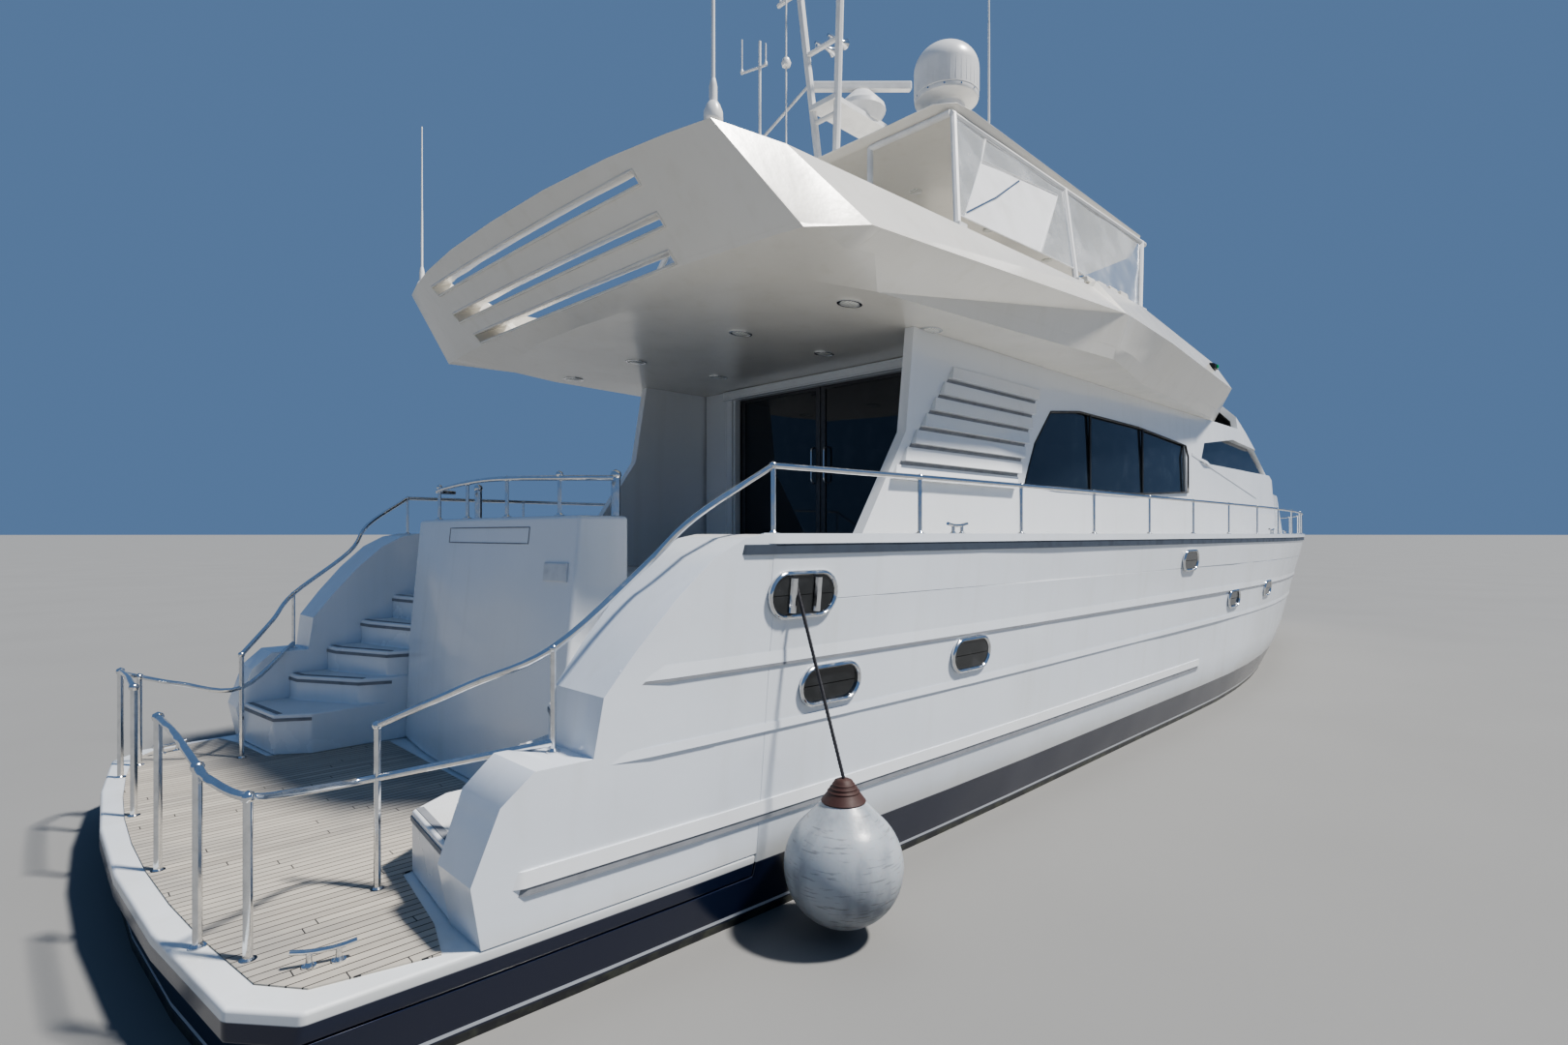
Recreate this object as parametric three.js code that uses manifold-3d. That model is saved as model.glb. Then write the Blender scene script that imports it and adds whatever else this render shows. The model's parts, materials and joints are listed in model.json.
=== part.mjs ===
// Motor yacht with a flybridge, afloat. Millimetres, +X to the bow, +Y to port, +Z up.
// The origin is on the centreline, amidships, at the waterline.
import * as THREE from 'three';
import { mergeVertices } from 'three/addons/utils/BufferGeometryUtils.js';
import Module from 'manifold-3d';

const wasm = await Module();
wasm.setup();

// Driving dimensions
const AFT_X = -12200;
const SHEER_STEM_X = 12100;
const SHOULDER_X = -1500;
const QUARTER_X = -6000;
const QUARTER_NARROWING = 0.08;
const STEM_HALF_THICKNESS = 30;
const SEAT_GAP = 0.3;
const RUNNING_GAP = 0.5;

const PLATFORM_BASE_Z = 300;
const PLATFORM_Z = 450;
const DECK_Z = 1950;
const CAP_Z = 2350;
const SOFFIT_Z = 4200;
const FLY_FLOOR_Z = 4320;
const HARDTOP_Z = 6300;
const HARDTOP_THICKNESS = 150;
const WELL_X = -9450;
const FAR = 20000;

const BULWARK_THICKNESS = 90;
const WALL_THICKNESS = 100;
const GLASS_SETBACK = 30;
const GLASS_THICKNESS = 15;

const root = new THREE.Group();

// Materials
const paint = (color, roughness, metalness) =>
  new THREE.MeshStandardMaterial({ color, roughness, metalness });
const WHITE = paint(0xe9edf0, 0.25, 0);
const TEAK = paint(0x9a8b76, 0.7, 0);
const STEEL = paint(0xc9ccd0, 0.2, 1);
const GLASS = paint(0x1a2228, 0.08, 0);
const BRONZE = paint(0x9c7b45, 0.35, 1);
const RUBBER = paint(0xc9cdd2, 0.6, 0);
const VINYL = paint(0xe4e0d6, 0.6, 0);
const CONSOLE = paint(0xdfe3e6, 0.4, 0);
const ROPE = paint(0x2a2c30, 0.8, 0);

// Solids: a closed geometry becomes a solid for joining and cutting, and back
function solidOf(geometry) {
  const bare = geometry.clone();
  bare.deleteAttribute('normal');
  bare.deleteAttribute('uv');
  const merged = mergeVertices(bare, 1e-3);
  return new wasm.Manifold(
    new wasm.Mesh({
      numProp: 3,
      vertProperties: new Float32Array(merged.attributes.position.array),
      triVerts: new Uint32Array(merged.index.array),
    }),
  );
}

function geometryOf(solid) {
  const mesh = solid.getMesh();
  const geometry = new THREE.BufferGeometry();
  geometry.setAttribute('position', new THREE.BufferAttribute(mesh.vertProperties, 3));
  geometry.setIndex(new THREE.BufferAttribute(mesh.triVerts, 1));
  return geometry;
}

const join = (...geometries) => geometryOf(geometries.map(solidOf).reduce((a, b) => a.add(b)));
const cut = (body, ...tools) =>
  geometryOf(tools.map(solidOf).reduce((a, b) => a.subtract(b), solidOf(body)));
const common = (body, tool) => geometryOf(solidOf(body).intersect(solidOf(tool)));
const moved = (geometry, x, y, z) => geometry.clone().translate(x, y, z);

function mirrored(geometry) {
  const other = geometry.clone().applyMatrix4(new THREE.Matrix4().makeScale(1, -1, 1));
  const index = other.index.array;
  for (let i = 0; i < index.length; i += 3) {
    [index[i], index[i + 1]] = [index[i + 1], index[i]];
  }
  return other;
}

function addPart(name, geometry, material) {
  const part = new THREE.Mesh(geometry, material);
  part.name = name;
  root.add(part);
  return part;
}

// A port piece and its mirror image to starboard
function addPair(name, geometry, material) {
  const indexed = geometry.index ? geometry : geometryOf(solidOf(geometry));
  addPart(name + '_port', indexed, material);
  addPart(name + '_starboard', mirrored(indexed), material);
}

// Basic forms, each given by its limits or its outline
function box(x0, x1, y0, y1, z0, z1) {
  const shape = new THREE.BoxGeometry(x1 - x0, y1 - y0, z1 - z0);
  return shape.translate((x0 + x1) / 2, (y0 + y1) / 2, (z0 + z1) / 2);
}

function extruded(outline, depth) {
  const shape = new THREE.Shape(outline.map(([a, b]) => new THREE.Vector2(a, b)));
  return new THREE.ExtrudeGeometry(shape, { depth, bevelEnabled: false, curveSegments: 6 });
}

const ALONG_X = new THREE.Matrix4().set(0, 0, 1, 0, 1, 0, 0, 0, 0, 1, 0, 0, 0, 0, 0, 1);
const ALONG_Y = new THREE.Matrix4().set(1, 0, 0, 0, 0, 0, -1, 0, 0, 1, 0, 0, 0, 0, 0, 1);
const prismX = (outlineYZ, x0, x1) =>
  extruded(outlineYZ, x1 - x0).applyMatrix4(ALONG_X).translate(x0, 0, 0);
const prismY = (outlineXZ, y0, y1) =>
  extruded(outlineXZ, y1 - y0).applyMatrix4(ALONG_Y).translate(0, y1, 0);
const prismZ = (outlineXY, z0, z1) => extruded(outlineXY, z1 - z0).translate(0, 0, z0);

function tube(points, radius, steps = points.length - 1, sides = 8) {
  const path = new THREE.CatmullRomCurve3(
    points.map(([x, y, z]) => new THREE.Vector3(x, y, z)),
    false,
    'catmullrom',
    steps > points.length - 1 ? 0.35 : 0,
  );
  const ring = new THREE.Shape();
  ring.absarc(0, 0, radius, 0, 2 * Math.PI);
  ring.autoClose = true;
  const flat = new THREE.Shape(ring.getSpacedPoints(sides).slice(0, sides));
  return new THREE.ExtrudeGeometry(flat, { steps, extrudePath: path, bevelEnabled: false });
}

const rod = (from, to, radius, sides = 8) => tube([from, to], radius, 1, sides);

function lathe(profile, segments = 24) {
  const turned = new THREE.LatheGeometry(profile.map(([r, z]) => new THREE.Vector2(r, z)), segments);
  return turned.rotateX(Math.PI / 2);
}

// A skin through rings of equal length, closed by a cap at each end. The middle is the index, or
// the pair of indices, where a ring that mirrors itself crosses the centreline: its caps are then
// strips from side to side
function loft(rings, middle) {
  const count = rings[0].length;
  const vertices = rings.flat(2);
  const faces = [];
  rings.slice(1).forEach((_, r) => {
    for (let i = 0; i < count; i++) {
      const j = (i + 1) % count;
      const [a, b, c, d] = [r * count + i, r * count + j, (r + 1) * count + j, (r + 1) * count + i];
      // The second half of a ring mirrors the first, and so do its facets
      const facets = i < count / 2 ? [a, b, c, a, c, d] : [a, b, d, b, c, d];
      faces.push(...facets);
    }
  });
  const last = (rings.length - 1) * count;
  const order = middle ? acrossOrder(count, ...middle) : [...Array(count).keys()];
  for (let i = 1; i < count - 1; i++) {
    const [a, b, c] = middle ? [i - 1, i, i + 1] : [0, i, i + 1];
    const swapped = middle && (i % 2 === 1) === (middle[0] === middle[1]);
    const [p, q, r] = swapped ? [order[b], order[a], order[c]] : [order[a], order[b], order[c]];
    faces.push(p, r, q, last + p, last + q, last + r);
  }
  const geometry = new THREE.BufferGeometry();
  geometry.setAttribute('position', new THREE.Float32BufferAttribute(vertices, 3));
  geometry.setIndex(faces);
  return signedVolume(geometry) < 0 ? turnedInsideOut(geometry) : geometry;
}

// Indices of a ring taken from side to side, from the given pair on
function acrossOrder(count, left, right) {
  const order = left === right ? [left] : [left, right];
  for (let step = 1; order.length < count; step++) {
    const next = [(left - step + count) % count, (right + step) % count];
    order.push(...(next[0] === next[1] ? [next[0]] : next));
  }
  return order;
}

function signedVolume(geometry) {
  const { index, attributes } = geometry;
  const corner = (i) => new THREE.Vector3().fromBufferAttribute(attributes.position, index.getX(i));
  let volume = 0;
  for (let i = 0; i < index.count; i += 3) {
    volume += corner(i).dot(corner(i + 1).cross(corner(i + 2))) / 6;
  }
  return volume;
}

function turnedInsideOut(geometry) {
  const index = geometry.index.array;
  for (let i = 0; i < index.length; i += 3) {
    [index[i], index[i + 1]] = [index[i + 1], index[i]];
  }
  return geometry;
}

// Hull lines from the keel up. Columns: x of the line's end on the stem, half breadth amidships,
// heights aft, amidships and at the stem, and fullness of the bow
const hullLines = {
  keel: { stemX: 10300, breadth: 0, aft: -550, mid: -1000, bow: -300, fullness: 2 },
  chine: { stemX: 10800, breadth: 2660, aft: -320, mid: -220, bow: 350, fullness: 1.9 },
  boot: { stemX: 11150, breadth: 2860, aft: 380, mid: 400, bow: 620, fullness: 2.1 },
  strake: { stemX: 11400, breadth: 2900, aft: 790, mid: 720, bow: 950, fullness: 2.2 },
  knuckle: { stemX: 11850, breadth: 2980, aft: 1620, mid: 1620, bow: 1700, fullness: 2.45 },
  deck: { stemX: 11980, breadth: 3020, aft: DECK_Z, mid: DECK_Z, bow: DECK_Z, fullness: 2.55 },
  sheer: { stemX: SHEER_STEM_X, breadth: 3060, aft: CAP_Z, mid: CAP_Z, bow: CAP_Z, fullness: 2.65 },
};
const HULL_STATIONS = 20;

// A point of a hull line at a station from 0, aft, to 1, at the stem
function hullPoint({ stemX, breadth, aft, mid, bow, fullness }, station) {
  const x = AFT_X + (stemX - AFT_X) * station;
  const forward = Math.max(0, (x - SHOULDER_X) / (stemX - SHOULDER_X));
  const backward = Math.max(0, (QUARTER_X - x) / (QUARTER_X - AFT_X));
  const width = breadth * (1 - forward ** fullness) * (1 - QUARTER_NARROWING * backward ** 2);
  const end = x > 0 ? bow : aft;
  const z = mid + (end - mid) * (x / (x > 0 ? stemX : AFT_X)) ** 2;
  return [x, Math.max(width, breadth ? STEM_HALF_THICKNESS : 0), z];
}

function hullSkin(upperNames) {
  const names = ['chine', 'boot', 'strake', 'knuckle', ...upperNames];
  const rings = Array.from({ length: HULL_STATIONS + 1 }, (_, i) => {
    const station = i / HULL_STATIONS;
    const side = names.map((name) => hullPoint(hullLines[name], station));
    const other = side.map(([x, y, z]) => [x, -y, z]).reverse();
    return [hullPoint(hullLines.keel, station), ...side, ...other];
  });
  return loft(rings, [0, 0]);
}

// Platform's outline in plan: bevelled aft corners and an aft edge that bulges
const PLATFORM_PLAN = { bulge: 200, half: 2900, cornerHalf: 2400, bevelX: -11500, bevelAftX: -11750 };
const ACROSS = [-1, -0.6, -0.2, 0.2, 0.6, 1];

function platformOutline(inset) {
  const { bulge, half, cornerHalf, bevelX, bevelAftX } = PLATFORM_PLAN;
  const cornerX = AFT_X + bulge + inset;
  const forwardX = WELL_X + 500;
  const aftEdge = ACROSS.map((s) => [cornerX - bulge * (1 - s * s), -cornerHalf * s]);
  return [
    [forwardX, half], [bevelX, half], [bevelAftX, half - 200], ...aftEdge,
    [bevelAftX, 200 - half], [bevelX, -half], [forwardX, -half],
  ];
}

// Running gear: each shaft slopes down aft from its log to the propeller
const SHAFT_Y = 1350;
const SHAFT_RADIUS = 45;
const LOG_RADIUS = 85;
const logEnd = new THREE.Vector3(-6300, SHAFT_Y, -690);
const propCentre = new THREE.Vector3(-9600, SHAFT_Y, -1020);
const shaftAxis = propCentre.clone().sub(logEnd).normalize();
const onShaft = (distance) => logEnd.clone().addScaledVector(shaftAxis, distance).toArray();
const SHAFT_TO_PROP = propCentre.distanceTo(logEnd);
const RUDDER_X = -10450;
const RUDDER_TOP_Z = -560;
const RUDDER_STOCK_RADIUS = 50;

function keelAndBosses() {
  const keel = prismY(
    [[-7500, -700], [-7000, -1400], [5200, -1400], [7600, -600]],
    -110,
    110,
  );
  const logs = [1, -1].map((side) => {
    const log = rod(onShaft(-1500), onShaft(0), LOG_RADIUS, 16);
    return side > 0 ? log : mirrored(geometryOf(solidOf(log)));
  });
  const rudderBosses = [1, -1].map((side) =>
    lathe([[0, RUDDER_TOP_Z], [110, RUDDER_TOP_Z], [130, -300], [0, -300]], 16)
      .translate(RUDDER_X, side * SHAFT_Y, 0));
  return [keel, ...logs, ...rudderBosses];
}

function addHull() {
  const wholeSkin = hullSkin(['deck']);
  const sternWell = box(-FAR, WELL_X, -FAR, FAR, PLATFORM_BASE_Z, FAR);
  const endTrim = prismZ(platformOutline(80), -3000, 3000);
  const forward = box(WELL_X, FAR, -FAR, FAR, -3000, 3000);
  const body = common(cut(wholeSkin, sternWell), join(endTrim, forward));
  addPart('hull', join(body, ...keelAndBosses()), WHITE);
  const slab = box(-FAR, WELL_X - SEAT_GAP, -FAR, FAR, PLATFORM_BASE_Z + SEAT_GAP, PLATFORM_Z);
  const platform = common(common(wholeSkin, slab), prismZ(platformOutline(0), -1000, 3000));
  addPart('swim_platform', platform, TEAK);
}

// Bulwarks: thin walls from the deck edge to the cap
function bulwarkWall() {
  const first = (WELL_X - 20 - AFT_X) / (SHEER_STEM_X - AFT_X);
  const rings = Array.from({ length: HULL_STATIONS + 1 }, (_, i) => {
    const station = first + ((1 - first) * i) / HULL_STATIONS;
    const [x, y] = hullPoint(hullLines.deck, station);
    const [capX, capY] = hullPoint(hullLines.sheer, station);
    const inner = Math.max(y - BULWARK_THICKNESS, SEAT_GAP);
    const capInner = Math.max(capY - BULWARK_THICKNESS, SEAT_GAP);
    const base = DECK_Z + SEAT_GAP;
    return [[x, y, base], [capX, capY, CAP_Z], [capX, capInner, CAP_Z], [x, inner, base]];
  });
  return loft(rings);
}

// Stern quarters: the hull's skin carried aft beside the stairs, in a stepped sweep
const QUARTER_INNER_Y = 2360;
const LEDGE_Z = 1240;
const quarterProfile = [
  [WELL_X - SEAT_GAP, PLATFORM_Z + SEAT_GAP], [-11080, PLATFORM_Z + SEAT_GAP], [-11140, 760],
  [-11020, 1100], [-10860, LEDGE_Z], [-10560, LEDGE_Z], [-10520, 1540], [-10350, 1760],
  [-10130, 2010], [-9900, 2220], [-9700, 2325], [-9560, CAP_Z], [WELL_X - SEAT_GAP, CAP_Z],
];

function bulwarkForm() {
  const skin = hullSkin(['deck', 'sheer']);
  const quarter = common(skin, prismY(quarterProfile, QUARTER_INNER_Y, FAR));
  return join(bulwarkWall(), quarter);
}

// Stairs from the platform to the aft deck. Columns: height, x and y of the inboard end of the
// nosing, x of its outboard end
const treads = [
  { z: 800, x: -11000, y: 1620, outerX: -11080 },
  { z: 1030, x: -10350, y: 1560, outerX: -10720 },
  { z: 1260, x: -10120, y: 1530, outerX: -10400 },
  { z: 1490, x: -9900, y: 1510, outerX: -10100 },
  { z: 1720, x: -9680, y: 1490, outerX: -9800 },
];
const STAIR_OUTER_Y = QUARTER_INNER_Y - SEAT_GAP;
const TRANSOM_HALF = 1450;

function addStairs() {
  const innerY = TRANSOM_HALF + SEAT_GAP;
  const forwardX = WELL_X - SEAT_GAP;
  const steps = treads.map(({ z, x, y, outerX }) => {
    const plan = [
      [x, y], [Math.min(x + 250, forwardX - 60), innerY], [forwardX, innerY],
      [forwardX, STAIR_OUTER_Y], [outerX, STAIR_OUTER_Y], [outerX + 20, STAIR_OUTER_Y - 200],
    ];
    return prismZ(plan, PLATFORM_Z + SEAT_GAP, z);
  });
  const clearOfTransom = box(-FAR, FAR, innerY, FAR, 0, FAR);
  addPair('stern_stairs', common(join(...steps), clearOfTransom), WHITE);
}

const TRANSOM_TOP_Z = 2480;

// Transom between the stairs, bulging aft. Columns: height, x at its sides, bulge at the middle
const transomLevels = [
  { z: PLATFORM_Z + SEAT_GAP, x: -9990, bulge: 110 },
  { z: 1400, x: -9950, bulge: 100 },
  { z: TRANSOM_TOP_Z, x: -9850, bulge: 80 },
];

function addTransom() {
  const rings = transomLevels.map(({ z, x, bulge }) => [
    [WELL_X - SEAT_GAP, TRANSOM_HALF, z], [WELL_X - SEAT_GAP, -TRANSOM_HALF, z],
    ...ACROSS.map((s) => [x - bulge * (1 - s * s), s * TRANSOM_HALF, z]),
  ]);
  addPart('transom', loft(rings), WHITE);
}

// House: one shell from the deck to the upper deck, raised to the windshield forward.
// Columns: height, x of the front, half width
const houseLevels = [
  { z: DECK_Z + SEAT_GAP, frontX: 6450, half: 2150 },
  { z: 3400, frontX: 6150, half: 2120 },
  { z: 4180, frontX: 4500, half: 2100 },
  { z: 4950, frontX: 2900, half: 2000 },
];
const HOUSE_AFT_X = -8200;
const ROOF_FRONT_X = 2700;
const BULKHEAD_X = -5950;
const PILOT_ROOF_Z = 4850;
const FLOOR_DROP = 400;

function houseForm(inset, floorDrop = 0) {
  const rings = houseLevels.map(({ z, frontX, half }, i) => {
    const h = half - inset;
    const f = frontX - inset * 1.4;
    const height = i ? z : z - floorDrop;
    const side = [[HOUSE_AFT_X, h], [f - 1300, h], [f - 620, h * 0.86], [f - 180, h * 0.55], [f, h * 0.2]];
    const back = side.map(([x, y]) => [x, -y]).reverse();
    return [...side, ...back].map(([x, y]) => [x, y, height]);
  });
  return loft(rings, [4, 5]);
}

// Outlines cut by the side view: the wings slant aft as they go down
const houseProfile = [
  [-7950, DECK_Z], [-7050, 3250], [-6900, SOFFIT_Z - SEAT_GAP], [ROOF_FRONT_X + 20, SOFFIT_Z - SEAT_GAP],
  [ROOF_FRONT_X + 20, 5000], [7000, 5000], [7000, DECK_Z],
];
const saloonWindow = [
  [-4970, 2870], [-4720, 3330], [-4330, 3720], [-3600, 3800], [-1800, 3790], [40, 3690],
  [40, 2980], [-2000, 2880],
];
const pilothouseWindow = [[700, 3480], [900, 3800], [2400, 3980], [3900, 3900], [4900, 3480]];
const windshieldPanes = [
  [[-1780, 3560], [-1560, 4620], [-560, 4700], [-620, 3560]],
  [[-560, 3560], [-500, 4700], [500, 4700], [560, 3560]],
  [[620, 3560], [560, 4700], [1560, 4620], [1780, 3560]],
];
const WINDSHIELD_AFT_X = 2950;
const HOUSE_SPLIT_X = 3000;
const PILOT_GLASS = { aftX: 600, z0: 3430, z1: 4780 };

// An outline drawn in towards the mean of its points
function shrunk(outline, inset) {
  const mean = (k) => outline.reduce((sum, point) => sum + point[k] / outline.length, 0);
  const middle = [mean(0), mean(1)];
  return outline.map((point) => point.map((value, k) => value + inset * Math.sign(middle[k] - value)));
}

function addHouse() {
  const underRoof = box(-FAR, FAR, -FAR, FAR, 0, PILOT_ROOF_Z);
  const shell = cut(houseForm(0), common(houseForm(WALL_THICKNESS, FLOOR_DROP), underRoof));
  const trimmed = common(shell, prismY(houseProfile, -FAR, FAR));
  const sides = prismY(saloonWindow, -FAR, FAR);
  const pilotSides = prismY(pilothouseWindow, -FAR, FAR);
  const panes = windshieldPanes.map((pane) => prismX(pane, WINDSHIELD_AFT_X, FAR));
  const walls = cut(trimmed, sides, pilotSides);
  const aftOfSplit = box(-FAR, HOUSE_SPLIT_X - SEAT_GAP, 0, FAR, 0, FAR);
  const aheadOfSplit = box(HOUSE_SPLIT_X, FAR, -FAR, FAR, 0, FAR);
  addPair('house_side', common(walls, aftOfSplit), WHITE);
  addPart('pilothouse_front', cut(common(walls, aheadOfSplit), ...panes), WHITE);

  const layer = cut(houseForm(GLASS_SETBACK), houseForm(GLASS_SETBACK + GLASS_THICKNESS, FLOOR_DROP));
  const portSaloon = prismY(shrunk(saloonWindow, SEAT_GAP), 100, FAR);
  addPair('saloon_glass', common(layer, portSaloon), GLASS);
  const behind = WALL_THICKNESS + SEAT_GAP;
  const innerLayer = cut(houseForm(behind), houseForm(behind + GLASS_THICKNESS, FLOOR_DROP));
  const band = box(PILOT_GLASS.aftX, FAR, -FAR, FAR, PILOT_GLASS.z0, PILOT_GLASS.z1);
  const sideView = prismY(houseProfile, -FAR, FAR);
  addPart('pilothouse_glass', common(common(innerLayer, band), sideView), GLASS);
}

// Aft bulkhead with a sill that carries the two sliding door leaves
const BULKHEAD_HALF = 2150 - WALL_THICKNESS - 60;
const DOOR_HALF = 1400;
const DOOR_TOP_Z = 4080;
const SILL_Z = 2000;
const LEAF_X = BULKHEAD_X + 110;
const LEAF_THICKNESS = 45;
const LEAF_WIDTH = 1395;
const LEAF_FRAME = 70;
const LEAF_INNER_Y = 5;

function addBulkhead() {
  const deck = DECK_Z + SEAT_GAP;
  const wide = [-BULKHEAD_HALF, BULKHEAD_HALF];
  const panel = box(BULKHEAD_X, BULKHEAD_X + 100, ...wide, deck, SOFFIT_Z - SEAT_GAP);
  const opening = box(BULKHEAD_X - 50, BULKHEAD_X + 150, -DOOR_HALF, DOOR_HALF, SILL_Z, DOOR_TOP_Z);
  const sill = box(BULKHEAD_X, BULKHEAD_X + 190, ...wide, deck, SILL_Z);
  addPart('aft_bulkhead', join(cut(panel, opening), sill), WHITE);
  const leafTop = DOOR_TOP_Z + 40;
  const leafBase = SILL_Z + RUNNING_GAP;
  const leafOuterY = LEAF_INNER_Y + LEAF_WIDTH;
  const leaf = box(LEAF_X, LEAF_X + LEAF_THICKNESS, LEAF_INNER_Y, leafOuterY, leafBase, leafTop);
  const pane = (gap, depth) => {
    const inset = LEAF_FRAME + gap;
    return box(LEAF_X + depth, LEAF_X + LEAF_THICKNESS - depth, LEAF_INNER_Y + inset, leafOuterY - inset,
      leafBase + inset, leafTop - inset);
  };
  addPair('door_leaf', cut(leaf, pane(0, -10)), STEEL);
  addPair('door_glass', pane(SEAT_GAP, 15), GLASS);
}

// Foredeck trunk, solid, with its hatch lid. Columns: x, half width, height of the top
const TRUNK_TOP_Z = 2850;
const trunkSections = [
  { x: 6460, half: 2000, top: 3300 },
  { x: 7150, half: 1800, top: TRUNK_TOP_Z },
  { x: 9100, half: 1080, top: TRUNK_TOP_Z },
  { x: 10000, half: 600, top: 2380 },
];
const WINDLASS_X = 10450;
const ANCHOR_X = 12380;
const SHANK_AFT_X = 11700;
const HATCH = { x0: 7800, x1: 8400, half: 300, thickness: 50 };

function addForedeck() {
  const deck = DECK_Z + SEAT_GAP;
  const rings = trunkSections.map(({ x, half, top }) => [
    [x, -half, deck], [x, half, deck], [x, half * 0.92, top - 120], [x, half * 0.78, top],
    [x, -half * 0.78, top], [x, -half * 0.92, top - 120],
  ]);
  addPart('foredeck_trunk', loft(rings), WHITE);
  const seat = TRUNK_TOP_Z + RUNNING_GAP;
  const lid = box(HATCH.x0, HATCH.x1, -HATCH.half, HATCH.half, seat, seat + HATCH.thickness);
  addPart('foredeck_hatch', lid, WHITE);

  const drum = lathe([[0, deck], [190, deck], [190, deck + 70], [110, deck + 90], [80, deck + 190],
    [120, deck + 250], [120, deck + 280], [0, deck + 280]], 20);
  addPart('windlass', drum.translate(WINDLASS_X, 0, 0), STEEL);

  const rollerTop = CAP_Z + 60;
  addPart('bow_roller', box(11450, ANCHOR_X - 20, -110, 110, CAP_Z + SEAT_GAP, rollerTop), STEEL);
  const shankOutline = [
    [SHANK_AFT_X, rollerTop + SEAT_GAP], [ANCHOR_X, rollerTop + SEAT_GAP], [ANCHOR_X, 1850],
    [ANCHOR_X + 60, 1850], [ANCHOR_X + 60, rollerTop + 50], [SHANK_AFT_X, rollerTop + 50],
  ];
  // Columns: height, aft face ahead of the shank's, half width, thickness
  const flukeLevels = [[2130, 0, 20, 30], [1900, 50, 230, 40], [1700, 0, 20, 30]];
  const fluke = loft(flukeLevels.map(([z, ahead, half, thickness]) => {
    const [x0, x1] = [ANCHOR_X + ahead, ANCHOR_X + ahead + thickness];
    return [[x0, -half, z], [x0, half, z], [x1, half, z], [x1, -half, z]];
  }));
  addPart('anchor', join(prismY(shankOutline, -22, 22), fluke), STEEL);
}

// Upper deck: a tray with slanted coamings, raised from the step forward.
// Heights go along the side: aft corner, shoulder, before and after the step, waist, bend, cheek
// and front. Other columns: x of the aft edge at its middle, x and y of the aft corner and of the
// shoulder, half width, how far in the side lies forward of the step, x and half width of the front
const STEP_X = -4300;
const SIDE_POINTS = 8;
const level = (z) => Array(SIDE_POINTS).fill(z);
const KNUCKLE_HEIGHTS = [4290, 4400, 4650, 4650, 4640, 4600, 4570, 4560];
const COPING_HEIGHTS = [4900, 4900, 5010, 5090, 5150, 5020, 5000, 5000];
const deckLevels = [
  {
    heights: level(SOFFIT_Z), midX: -9000, corner: [-8500, 2300], shoulder: [-7900, 2480],
    half: 2800, tuck: 200, frontX: 2650, frontHalf: 1750,
  },
  {
    heights: KNUCKLE_HEIGHTS, midX: -9200, corner: [-9050, 2800], shoulder: [-8550, 2950],
    half: 2950, frontX: 2700, frontHalf: 1850,
  },
  {
    heights: COPING_HEIGHTS, midX: -9817, corner: [-9560, 2500], shoulder: [-9000, 2600],
    half: 2600, frontX: 2400, frontHalf: 1700,
  },
];

function deckSide({ heights, corner, shoulder, half, tuck = 0, frontX, frontHalf }) {
  const plan = [
    corner, shoulder, [STEP_X - 40, half], [STEP_X + 40, half], [-2700, half - tuck - 100],
    [800, (half + frontHalf) / 2 - tuck + 130], [frontX - 500, frontHalf + 90], [frontX, frontHalf - 500],
  ];
  return plan.map(([x, y], i) => [x, y, heights[i]]);
}

// The plan of one level, mirrored about the point at the middle of its front
function deckRing(deckLevel) {
  const { heights, midX, corner, frontX } = deckLevel;
  const side = deckSide(deckLevel);
  const other = side.map(([x, y, z]) => [x, -y, z]).reverse();
  const aft = [-0.86, -0.64, -0.34, 0, 0.34, 0.64, 0.86].map((s) => [
    midX + (corner[0] - midX) * Math.abs(s) ** 2.5, s * corner[1], heights[0],
  ]);
  return [...side, [frontX + 60, 0, heights[SIDE_POINTS - 1]], ...other, ...aft];
}

const deckForm = (levels) => loft(levels.map(deckRing), [SIDE_POINTS, SIDE_POINTS]);

// Height of the coaming's top at a given x
function copingZ(x) {
  const side = deckSide(deckLevels[2]);
  const i = side.findIndex((point) => point[0] > x);
  const [[x0, , z0], [x1, , z1]] = [side[i - 1], side[i]];
  return z0 + ((z1 - z0) * (x - x0)) / (x1 - x0);
}

// Slots across the aft coaming. Columns: x and height of the middle of the slot, half length
const slots = [
  { x: -9650, z: 4740, half: 1750 },
  { x: -9430, z: 4520, half: 1750 },
  { x: -9230, z: 4340, half: 1650 },
];
const SLOT_HEIGHT = 75;
const SLOT_TILT = -0.45;
const COAMING_SPLIT_X = -8450;

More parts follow.
